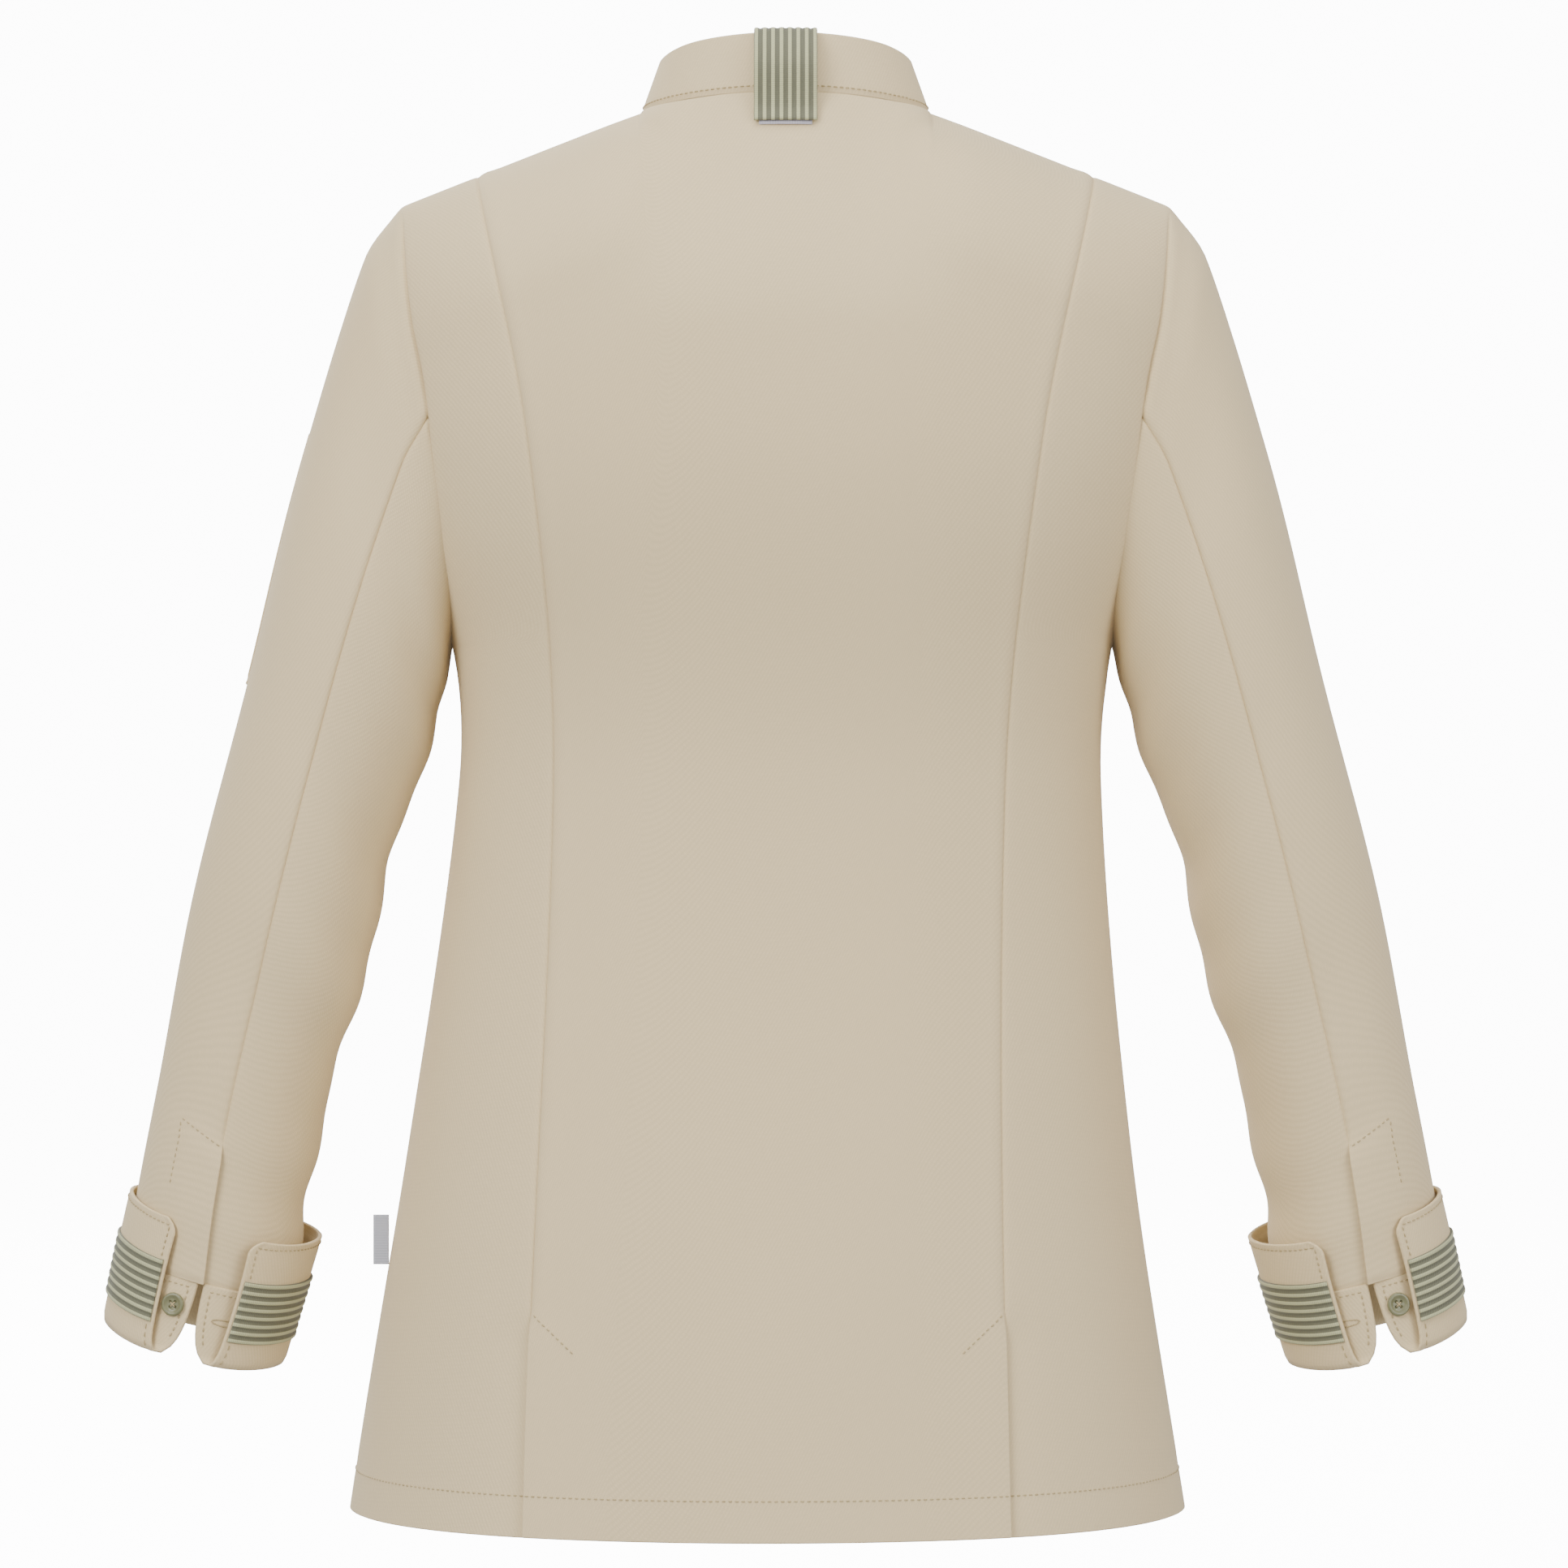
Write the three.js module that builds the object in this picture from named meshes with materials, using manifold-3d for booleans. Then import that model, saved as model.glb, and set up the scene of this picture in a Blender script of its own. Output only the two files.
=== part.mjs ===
// A stand-collar work jacket in twill, hanging as if worn, built from its sewn pieces.
// Frame: millimetres, +Z up, the front faces -Y, the wearer's left is +X, and the origin is the
// neck opening's centre at the height of the collar seam at the centre back.
import * as THREE from 'three';
import { mergeVertices } from 'three/addons/utils/BufferGeometryUtils.js';
import Module from 'manifold-3d';

// Driving dimensions: cloth and gaps
const cloth = 1.2;              // thickness of one layer of twill
const thinCloth = 0.9;          // thickness of facings and ribbons
const seamGap = 0.4;            // gap between two sewn edges
const layerGap = 0.4;           // gap between two layers that lie on each other
const armholeGap = 0.65;        // gap kept by the sleeve at the armhole

// Heights below the collar seam
const backLength = 678;
const shoulderDrop = 49;
const underarmDrop = 262;
const waistDrop = 327;
const hipDrop = 500;
const ventLength = 104;

// Half widths
const shoulderHalf = 186;
const shoulderFullness = 20;    // how far the body's form runs on past the shoulder point
const chestHalf = 160;
const waistHalf = 155;
const hipHalf = 175;
const hemHalf = 202;
const squareness = 2.2;         // 2 is an ellipse, more is boxier

// Depths in front of and behind the side seam's plane
const backDepth = { top: 95, chest: 110, waist: 92, hip: 124, hem: 138 };
const frontDepth = { top: 104, chest: 118, waist: 112, hip: 124, hem: 136 };
const shoulderRound = 75;       // height over which the shoulder rounds over
const neckRound = 115;          // height over which the neck runs into the back and chest

// Neck and collar
const neckHalf = 70;
const neckBack = 58;
const neckFront = 74;
const neckSideDrop = 4;
const neckFrontDrop = 58;
const collarHeight = 28;
const collarLean = 10;          // how much further in the top edge is than the seam
const ribbonWidth = 30;
const backingWidth = 25;

// Princess seams
const princess = { shoulder: 149, chest: 121, waist: 107, hem: 113 };
const frontPrincess = { neck: 52, bust: 92, waist: 90, hem: 104 };

// Closure
const frontLap = 20;            // each front runs this far past the centre
const lapInset = 4.6;           // how far the lower lap lies under the upper one
const frontNeckGap = 2.1;       // room that the fronts keep under the collar, to open freely
const facingWidth = 45;
const studCount = 6;
const firstStudDrop = 80;
const studPitch = 92;
const capRadius = 5.8;
const capHeight = 1.8;
const studRadius = 4.2;

// Sleeves and cuffs
const armholeDepth = { back: 60, front: 56 };
const sleeveTop = [
  [shoulderHalf, -shoulderDrop], [204, -74], [232, -166], [262, -279], [284, -374], [304, -468],
  [313, -515], [319, -557],
];
const sleeveUnder = [
  [chestHalf, -underarmDrop], [167, -291], [183, -342], [201, -405], [218, -468], [230, -515], [239, -578],
];
const wristDepth = 43;
const slitOpening = 1.6;        // how far each slit edge stands back from the seam line at the cuff
const cuffInside = 31;          // from the cuff seam to the fold
const cuffTurned = 64;          // height of the turned-back part
const ribbonAbove = 14;         // from the fold up to the ribbon
const cuffSpread = 3.0;         // how far the turned-back part stands off the sleeve at the fold
const cuffFlare = 2.6;          // and how much further at its top edge
const cuffSplit = { seam: 2, fold: 12, top: 16 };
const buttonRadius = 5.7;
const buttonHeight = 1.7;

// Small parts
const hangToOneSide = 9;        // how far the hem hangs towards the wearer's left
const labelHeight = 24;
const labelLength = 8;
const labelDrop = 550;
const pocketDrop = 118;         // from the shoulder point down the sleeve to the pocket's top edge
const pocketLength = 125;
const pocketLift = 0.7;

const colours = {
  twill: 0xcbc1ae, facing: 0xbfb49f, ribbon: 0xa9a78c, backing: 0xb4b0b6, olive: 0x8f8a55,
  label: 0xb3b6c2, metal: 0x9a9a92,
};

// Grid divisions
const armholeSteps = 10;
const bodySteps = 8;
const ringSteps = 2 * armholeSteps;
const sleeveRows = 12;

// ---------------------------------------------------------------- helpers

const wasm = await Module();
wasm.setup();

const group = new THREE.Group();
const mix = (a, b, t) => a + (b - a) * t;
const clamp01 = (t) => Math.min(1, Math.max(0, t));
const smooth = (t) => clamp01(t) ** 2 * (3 - 2 * clamp01(t));

// A smooth function through stations [height, value], heights falling.
function through(stations) {
  const slope = stations.map((s, k) => {
    const before = stations[Math.max(0, k - 1)];
    const after = stations[Math.min(stations.length - 1, k + 1)];
    return (after[1] - before[1]) / (after[0] - before[0]);
  });
  return (z) => {
    if (z >= stations[0][0]) return stations[0][1];
    const last = stations.length - 1;
    if (z <= stations[last][0]) return stations[last][1];
    const k = stations.findIndex((s) => s[0] <= z) - 1;
    const step = stations[k + 1][0] - stations[k][0];
    const t = (z - stations[k][0]) / step;
    const t2 = t * t;
    const t3 = t2 * t;
    return (2 * t3 - 3 * t2 + 1) * stations[k][1] + (t3 - 2 * t2 + t) * step * slope[k]
      + (3 * t2 - 2 * t3) * stations[k + 1][1] + (t3 - t2) * step * slope[k + 1];
  };
}

function node(name, geometry, colour, roughness = 0.85, metalness = 0) {
  const material = new THREE.MeshStandardMaterial({ color: colour, roughness, metalness });
  const mesh = new THREE.Mesh(geometry, material);
  mesh.name = name;
  group.add(mesh);
  return mesh;
}

// A closed solid between two grids of points, rows of columns.
function sheetSolid(outer, inner) {
  const rows = outer.length;
  const cols = outer[0].length;
  const points = [...outer.flat(), ...inner.flat()];
  const under = rows * cols;
  const at = (j, i) => j * cols + i;
  const index = [];
  const quad = (a, b, c, d) => index.push(a, b, c, a, c, d);
  for (let j = 0; j < rows - 1; j++) {
    for (let i = 0; i < cols - 1; i++) {
      quad(at(j, i), at(j, i + 1), at(j + 1, i + 1), at(j + 1, i));
      quad(under + at(j, i), under + at(j + 1, i), under + at(j + 1, i + 1), under + at(j, i + 1));
    }
    quad(at(j, 0), at(j + 1, 0), under + at(j + 1, 0), under + at(j, 0));
    const e = cols - 1;
    quad(at(j, e), under + at(j, e), under + at(j + 1, e), at(j + 1, e));
  }
  for (let i = 0; i < cols - 1; i++) {
    const e = rows - 1;
    quad(at(0, i), under + at(0, i), under + at(0, i + 1), at(0, i + 1));
    quad(at(e, i), at(e, i + 1), under + at(e, i + 1), under + at(e, i));
  }
  let volume = 0;
  for (let k = 0; k < index.length; k += 3) {
    const [a, b, c] = [points[index[k]], points[index[k + 1]], points[index[k + 2]]];
    volume += a.dot(new THREE.Vector3().crossVectors(b, c));
  }
  if (volume < 0) index.reverse();
  const geometry = new THREE.BufferGeometry();
  const coordinates = points.flatMap((p) => p.toArray());
  geometry.setAttribute('position', new THREE.Float32BufferAttribute(coordinates, 3));
  geometry.setIndex(index);
  geometry.computeVertexNormals();
  return geometry;
}

// A panel holds its face as a grid of points with the outward direction at each.
function panelOf(grid, facing) {
  const rows = grid.length;
  const cols = grid[0].length;
  const normal = grid.map((row) => row.map(() => new THREE.Vector3()));
  for (let j = 0; j < rows - 1; j++) {
    for (let i = 0; i < cols - 1; i++) {
      const across = new THREE.Vector3().subVectors(grid[j + 1][i + 1], grid[j][i]);
      const other = new THREE.Vector3().subVectors(grid[j + 1][i], grid[j][i + 1]);
      const cell = new THREE.Vector3().crossVectors(across, other);
      const middle = grid[j][i].clone().add(grid[j + 1][i + 1]).multiplyScalar(0.5);
      if (cell.dot(facing(middle)) < 0) cell.negate();
      [[j, i], [j, i + 1], [j + 1, i], [j + 1, i + 1]].forEach(([r, c]) => normal[r][c].add(cell));
    }
  }
  normal.flat().forEach((n) => n.normalize());
  return { grid, normal };
}

// Where panels meet, the outward direction is shared, so their cut edges stay parallel.
function weld(panels) {
  const shared = new Map();
  const key = (p) => p.toArray().map((v) => Math.round(v * 50)).join();
  const each = (use) => panels.forEach((panel) => panel.grid.forEach((row, j) => {
    row.forEach((p, i) => use(panel, j, i, key(p)));
  }));
  each((panel, j, i, place) => {
    if (!shared.has(place)) shared.set(place, new THREE.Vector3());
    shared.get(place).add(panel.normal[j][i]);
  });
  each((panel, j, i, place) => panel.normal[j][i].copy(shared.get(place)).normalize());
}

// The panel's grid with its four edges drawn back by [first row, last row, first column, last column].
function drawnBack(grid, back) {
  const rows = grid.length;
  const cols = grid[0].length;
  const towards = (p, q, d) => new THREE.Vector3().subVectors(q, p).setLength(d);
  return grid.map((row, j) => row.map((p, i) => {
    const moved = p.clone();
    if (j === 0) moved.add(towards(p, grid[1][i], back[0]));
    if (j === rows - 1) moved.add(towards(p, grid[rows - 2][i], back[1]));
    if (i === 0) moved.add(towards(p, row[1], back[2]));
    if (i === cols - 1) moved.add(towards(p, row[cols - 2], back[3]));
    return moved;
  }));
}

const inset = (grid, normal, depth) => grid.map((row, j) => row.map((p, i) => {
  const d = typeof depth === 'function' ? depth(j, i, p) : depth;
  return p.clone().addScaledVector(normal[j][i], -d);
}));

function layer(panel, from, to, back = Array(4).fill(seamGap / 2)) {
  const grid = drawnBack(panel.grid, back);
  return sheetSolid(inset(grid, panel.normal, from), inset(grid, panel.normal, to));
}

function part(panel, rows, cols) {
  const cut = (table) => table.slice(rows[0], rows[1] + 1).map((row) => row.slice(cols[0], cols[1] + 1));
  return { grid: cut(panel.grid), normal: cut(panel.normal) };
}

function toManifold(geometry) {
  const bare = geometry.clone();
  bare.deleteAttribute('normal');
  bare.deleteAttribute('uv');
  const merged = mergeVertices(bare, 1e-4);
  return new wasm.Manifold(new wasm.Mesh({
    numProp: 3,
    vertProperties: new Float32Array(merged.attributes.position.array),
    triVerts: new Uint32Array(merged.index.array),
  }));
}

function fromManifold(solid) {
  const mesh = solid.getMesh();
  const geometry = new THREE.BufferGeometry();
  geometry.setAttribute('position', new THREE.BufferAttribute(new Float32Array(mesh.vertProperties), 3));
  geometry.setIndex(new THREE.BufferAttribute(new Uint32Array(mesh.triVerts), 1));
  geometry.computeVertexNormals();
  return geometry;
}

// ---------------------------------------------------------------- the body's form

const halfWidth = through([
  [-shoulderDrop, shoulderHalf + shoulderFullness],
  [-mix(shoulderDrop, underarmDrop, 0.5), shoulderHalf + shoulderFullness * 0.45],
  [-mix(shoulderDrop, underarmDrop, 0.75), mix(shoulderHalf, chestHalf, 0.2)],
  [-underarmDrop, chestHalf],
  [-waistDrop, waistHalf],
  [-hipDrop, hipHalf],
  [-backLength, hemHalf],
]);
const depthStations = (d) => through([
  [0, d.top],
  [-mix(shoulderDrop, underarmDrop, 0.55), d.chest],
  [-waistDrop, d.waist],
  [-hipDrop - 60, d.hip],
  [-backLength, d.hem],
]);
const depthBehind = depthStations(backDepth);
const depthBefore = depthStations(frontDepth);
const sideways = (z) => hangToOneSide * smooth((-z - 100) / (backLength - 100));

// The top line: the neck ring within the neck's half width, the shoulder seam outside it.
function topLine(face, x) {
  if (x >= neckHalf) {
    const slope = (shoulderDrop - neckSideDrop) / (shoulderHalf - neckHalf);
    return { y: 0, z: -neckSideDrop - slope * (x - neckHalf) };
  }
  const share = 1 - (x / neckHalf) ** 2;
  const y = (face > 0 ? neckBack : neckFront) * Math.sqrt(share);
  const z = face > 0 ? -neckSideDrop * (1 - share) : -neckSideDrop - neckFrontDrop * share;
  return { y, z };
}

// The angle from the centre line at which the form has this half width.
function angleAt(x, z) {
  const share = Math.min(1, Math.abs(x) / halfWidth(z));
  return Math.sign(x) * Math.asin(share ** (squareness / 2));
}

function bodyPoint(face, angle, z) {
  const x = halfWidth(z) * Math.sign(angle) * Math.abs(Math.sin(angle)) ** (2 / squareness);
  const fullDepth = face > 0 ? depthBehind(z) : depthBefore(z);
  const depth = fullDepth * Math.max(0, Math.cos(angle)) ** (2 / squareness);
  const top = topLine(face, Math.abs(x));
  const fall = Math.max(0, top.z - z);
  const nearNeck = Math.sin((Math.PI / 2) * Math.min(1, fall / neckRound));
  const nearShoulder = Math.sin(Math.acos(1 - Math.min(1, fall / shoulderRound)));
  const rounding = mix(nearNeck, nearShoulder, smooth((Math.abs(x) - 30) / 60));
  return new THREE.Vector3(x + sideways(z), face * (top.y + (depth - top.y) * rounding), z);
}

// Rows shared by every panel: the armhole's steps, then even steps to the hem.
const rowCount = armholeSteps + bodySteps;
const armholeMiddle = -(shoulderDrop + underarmDrop) / 2;
const armholeHalf = (underarmDrop - shoulderDrop) / 2;

function armholeAngle(face, k) {
  const turn = (Math.PI * k) / armholeSteps;
  const z = armholeMiddle + armholeHalf * Math.cos(turn);
  const y = (face > 0 ? armholeDepth.back : armholeDepth.front) * Math.sin(turn);
  if (k === 0) return [angleAt(shoulderHalf, z), z];
  if (k === armholeSteps) return [Math.PI / 2, z];
  let low = 0.2;
  let high = Math.PI / 2;
  for (let step = 0; step < 40; step++) {
    const middle = (low + high) / 2;
    if (Math.abs(bodyPoint(face, middle, z).y) > y) low = middle;
    else high = middle;
  }
  return [(low + high) / 2, z];
}

function seamEdge(topZ, half) {
  return Array.from({ length: rowCount + 1 }, (_, k) => {
    const turn = (Math.PI * Math.min(k, armholeSteps)) / armholeSteps;
    const upper = mix(topZ, -underarmDrop, (1 - Math.cos(turn)) / 2);
    const z = k <= armholeSteps ? upper : mix(-underarmDrop, -backLength, (k - armholeSteps) / bodySteps);
    return [angleAt(half(z), z), z];
  });
}

function sideEdge(face) {
  return Array.from({ length: rowCount + 1 }, (_, k) => {
    if (k <= armholeSteps) return armholeAngle(face, k);
    return [Math.PI / 2, mix(-underarmDrop, -backLength, (k - armholeSteps) / bodySteps)];
  });
}

// Fills a panel between its four edges, given as [angle, height] pairs.
function fillPanel(face, top, bottom, first, last) {
  const rows = first.length - 1;
  const cols = top.length - 1;
  const grid = first.map((_, j) => top.map((__, i) => {
    const u = i / cols;
    const v = j / rows;
    const pair = [0, 1].map((k) => mix(top[i][k], bottom[i][k], v) + mix(first[j][k], last[j][k], u)
      - mix(mix(top[0][k], top[cols][k], u), mix(bottom[0][k], bottom[cols][k], u), v));
    return bodyPoint(face, pair[0], pair[1]);
  }));
  return panelOf(grid, (p) => new THREE.Vector3(p.x * 0.4, p.y + face * 20, 20));
}

const crestPoint = (x) => [angleAt(x, topLine(1, x).z), topLine(1, x).z];
const ringPoint = (face, turn) => {
  const x = neckHalf * Math.sin(turn);
  const z = topLine(face, Math.abs(x)).z;
  return [angleAt(x, z), z];
};
const hemPoint = (x) => [angleAt(x, -backLength), -backLength];
const mirrored = (edge) => edge.map(([angle, z]) => [-angle, z]);
const degrees = Math.PI / 180;
const evenly = (from, to, steps) => Array.from({ length: steps + 1 }, (_, k) => mix(from, to, k / steps));
const crestUpright = (panel) => {
  panel.normal[0].forEach((n, i) => {
    if (Math.abs(panel.grid[0][i].y) < 1e-6) n.setY(0).normalize();
  });
};

// ---------------------------------------------------------------- back and front panels

const crestZ = topLine(1, princess.shoulder).z;
const backPrincess = seamEdge(crestZ, through([
  [crestZ, princess.shoulder], [-mix(shoulderDrop, underarmDrop, 0.55), princess.chest],
  [-waistDrop, princess.waist], [-backLength, princess.hem],
]));
const neckCorner = Math.asin(frontPrincess.neck / neckHalf);
const frontNeckZ = topLine(-1, frontPrincess.neck).z;
const frontSeam = seamEdge(frontNeckZ, through([
  [frontNeckZ, frontPrincess.neck], [-mix(shoulderDrop, underarmDrop, 0.7), frontPrincess.bust],
  [-waistDrop, frontPrincess.waist], [-backLength, frontPrincess.hem],
]));

const crestSteps = evenly(princess.shoulder, neckHalf, 2);
const ringTurns = evenly(90, 0, 4).map((a) => a * degrees);
const backTopHalf = [...crestSteps.map(crestPoint), ...ringTurns.slice(1).map((t) => ringPoint(1, t))];
const backTop = [...backTopHalf, ...mirrored(backTopHalf.slice(0, -1)).reverse()];
const backHemHalf = [...evenly(princess.hem, 0, backTopHalf.length - 1)].map(hemPoint);
const backHem = [...backHemHalf, ...mirrored(backHemHalf.slice(0, -1)).reverse()];
const backCentre = fillPanel(1, backTop, backHem, backPrincess, mirrored(backPrincess));

const centreCol = 4;            // the front panels' column on the centre line
const onSide = (side, edge) => (side > 0 ? edge : mirrored(edge));
const sides = [[1, 'left'], [-1, 'right']];
const panels = { backSide: {}, frontSide: {}, frontCentre: {} };

sides.forEach(([side]) => {
  const backSideTop = evenly(princess.shoulder, shoulderHalf, 4).map(crestPoint);
  const hemAngles = evenly(backPrincess[rowCount][0], Math.PI / 2, 4).map((a) => [a, -backLength]);
  panels.backSide[side] = fillPanel(1, onSide(side, backSideTop), onSide(side, hemAngles),
    onSide(side, backPrincess), onSide(side, sideEdge(1)));

  const crest = evenly(shoulderHalf, neckHalf, 4).map(crestPoint);
  const ring = evenly(Math.PI / 2, neckCorner, 2).slice(1).map((t) => ringPoint(-1, t));
  const frontSideHem = evenly(Math.PI / 2, frontSeam[rowCount][0], 6).map((a) => [a, -backLength]);
  panels.frontSide[side] = fillPanel(-1, onSide(side, [...crest, ...ring]), onSide(side, frontSideHem),
    onSide(side, sideEdge(-1)), onSide(side, frontSeam));

  const lapTurn = Math.asin(frontLap / neckHalf);
  const centreTop = [...evenly(neckCorner, 0, centreCol), -neckCorner / centreCol, -lapTurn]
    .map((t) => ringPoint(-1, t));
  const centreHem = [...evenly(frontPrincess.hem, 0, centreCol), -frontLap / 2, -frontLap].map(hemPoint);
  const lapEdge = seamEdge(centreTop[centreTop.length - 1][1], () => -frontLap);
  panels.frontCentre[side] = fillPanel(-1, onSide(side, centreTop), onSide(side, centreHem),
    onSide(side, frontSeam), onSide(side, lapEdge));
});

const bodyPanels = [backCentre, ...sides.flatMap(([s]) => [panels.backSide[s], panels.frontSide[s]])];
weld([...bodyPanels, panels.frontCentre[1]]);
weld([...bodyPanels, panels.frontCentre[-1]]);
[...bodyPanels].forEach(crestUpright);

node('back_centre_panel', layer(backCentre, 0, cloth), colours.twill);

const ventRow = rowCount - Math.round(ventLength / ((backLength - underarmDrop) / bodySteps));
const facingFrom = cloth + layerGap;
const underlapFrom = facingFrom + thinCloth + layerGap;
const backCols = backCentre.grid[0].length - 1;

sides.forEach(([side, word]) => {
  const panel = panels.backSide[side];
  const seamCol = side > 0 ? 0 : backCols;
  const nextCol = side > 0 ? 1 : backCols - 1;
  // The vent's facing is turned under along the centre panel's free edge.
  const facing = part(backCentre, [ventRow, rowCount], side > 0 ? [0, 1] : [backCols - 1, backCols]);
  node(`vent_facing_${word}`, layer(facing, facingFrom, facingFrom + thinCloth), colours.facing);
  // The side panel's underlap runs on below the centre panel.
  const lapGrid = [];
  const lapNormal = [];
  for (let j = ventRow; j <= rowCount; j++) {
    const seam = backCentre.grid[j][seamCol];
    const step = (q, d) => seam.clone().add(new THREE.Vector3().subVectors(q, seam).setLength(d));
    const n = backCentre.normal[j][seamCol];
    const next = backCentre.grid[j][nextCol];
    lapGrid.push([next.clone(), step(next, 0.4), step(panel.grid[j][1], 2.5)]);
    lapNormal.push([backCentre.normal[j][nextCol], n, n]);
  }
  const lap = { grid: drawnBack(lapGrid, [seamGap, seamGap, 0, 0]), normal: lapNormal };
  const lapDepth = (extra) => (j, i) => (i < 2 ? underlapFrom + extra : 0.2 + extra * 0.7);
  const lapFace = (extra) => inset(lap.grid, lap.normal, lapDepth(extra));
  const underlap = sheetSolid(lapFace(0), lapFace(cloth));
  const joined = toManifold(layer(panel, 0, cloth)).add(toManifold(underlap));
  node(`back_side_panel_${word}`, fromManifold(joined), colours.twill);
  node(`front_side_panel_${word}`, layer(panels.frontSide[side], 0, cloth), colours.twill);
});

// The right front laps over the left one, whose edge runs in under it.
const lapRunIn = { from: frontPrincess.neck * 1.1, width: 26 };
sides.forEach(([side, word]) => {
  const panel = panels.frontCentre[side];
  const lapShare = (p) => smooth((lapRunIn.from - (p.x - sideways(p.z))) / lapRunIn.width);
  const lowered = (j, i, p) => (side > 0 ? lapInset * lapShare(p) : 0);
  const placed = { grid: inset(panel.grid, panel.normal, lowered), normal: panel.normal };
  const half = seamGap / 2;
  const centreLayer = layer(placed, 0, cloth, [frontNeckGap, half, half, half]);
  node(`front_centre_panel_${word}`, centreLayer, colours.twill);
  const facing = part(placed, [0, rowCount], [centreCol - 1, centreCol + 2]);
  node(`front_facing_${word}`, layer(facing, facingFrom, facingFrom + thinCloth), colours.facing);
});

// ---------------------------------------------------------------- front press studs

// The point of the right front's face on the centre line at this height.
function frontAt(z) {
  const line = panels.frontCentre[-1].grid.map((row) => row[centreCol]);
  const j = line.findIndex((p) => p.z <= z);
  const along = new THREE.Vector3().subVectors(line[j], line[j - 1]);
  const p = line[j - 1].clone().addScaledVector(along, (z - line[j - 1].z) / along.z);
  return { p, out: new THREE.Vector3(1, 0, 0).cross(along).normalize() };
}

function disc(radius, height, crown) {
  const shoulder = height * (1 - crown);
  const profile = [[0, 0], [radius, 0], [radius, shoulder], [radius * 0.7, height], [0, height]];
  return new THREE.LatheGeometry(profile.map(([x, y]) => new THREE.Vector2(x, y)), 12);
}

function solidOf(geometry) {
  return fromManifold(toManifold(geometry));
}

function placeOn(mesh, point, out) {
  mesh.position.copy(point);
  mesh.quaternion.setFromUnitVectors(new THREE.Vector3(0, 1, 0), out);
}

for (let k = 0; k < studCount; k++) {
  const { p, out } = frontAt(-firstStudDrop - k * studPitch);
  if (out.y > 0) out.negate();
  const cap = node(`front_cap_${k + 1}`, solidOf(disc(capRadius, capHeight, 0.5)), colours.olive, 0.5);
  placeOn(cap, p.clone().addScaledVector(out, layerGap + 0.3), out);
  const stud = node(`front_stud_${k + 1}`, solidOf(disc(studRadius, 1.2, 0.3)), colours.metal, 0.35, 0.8);
  placeOn(stud, p.clone().addScaledVector(out, layerGap - lapInset + 0.1), out);
}

// ---------------------------------------------------------------- collar

const frontTurn = 180 - neckCorner / degrees;
const collarTurns = [
  0, 11.25, 22.5, 45, 67.5, 90, (90 + frontTurn) / 2, ...evenly(frontTurn, 180, centreCol),
];
const collarEndGap = 0.6;       // degrees, at the centre front
collarTurns[collarTurns.length - 1] -= collarEndGap;
const collarAngles = [...collarTurns.slice(1).map((a) => -a).reverse(), ...collarTurns];

function collarPoint(turnDegrees, height, depth) {
  const turn = turnDegrees * degrees;
  const share = height / collarHeight;
  const face = Math.cos(turn) > 0 ? 1 : -1;
  const inward = collarLean * share * (0.55 + 0.45 * Math.abs(Math.sin(turn))) + depth;
  const x = (neckHalf - inward) * Math.sin(turn);
  const y = ((face > 0 ? neckBack : neckFront) - inward) * Math.cos(turn);
  return new THREE.Vector3(x, y, topLine(face, neckHalf * Math.abs(Math.sin(turn))).z + seamGap + height);
}

function collarBand(from, to, low, high) {
  const heights = evenly(low, high, 2);
  const face = (depth) => heights.map((h) => collarAngles.map((a) => collarPoint(a, h, depth)));
  return sheetSolid(face(from), face(to));
}

const liningFrom = cloth + layerGap;
node('collar_outer', collarBand(0, cloth, 0, collarHeight), colours.twill);
node('collar_lining', collarBand(liningFrom, liningFrom + cloth, 0, collarHeight - 0.4), colours.facing);

// The neck facing lies inside the back panel; its hanger loop is sewn in under the collar.
const neckCols = [2, backCols - 2];
const neckFacing = part(backCentre, [0, 5], neckCols);
const neckFacingLayer = layer(neckFacing, facingFrom, facingFrom + thinCloth, [0.6, 0, 0.6, 0.6]);
node('back_neck_facing', neckFacingLayer, colours.facing);

// A ribbon along a path of [y, z] pairs, curved across its width as the neck is.
function strip(path, width, thickness, columns = 4) {
  const side = (shift) => path.map((p, k) => {
    const before = path[Math.max(0, k - 1)];
    const after = path[Math.min(path.length - 1, k + 1)];
    const out = new THREE.Vector2(after[1] - before[1], before[0] - after[0]).normalize();
    const [y, z] = [p[0] + out.x * shift, p[1] + out.y * shift];
    return evenly(-width / 2, width / 2, columns)
      .map((x) => new THREE.Vector3(x, y - (x * x) / (2 * neckBow), z));
  });
  return sheetSolid(side(thickness / 2), side(-thickness / 2));
}

const neckBow = 63;
const innerY = neckBack - collarLean * 0.55 - liningFrom - cloth;
const topZ = collarHeight + seamGap;
const loopTopZ = topZ + 0.9;
const outerTopY = neckBack - collarLean * 0.55;

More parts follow.
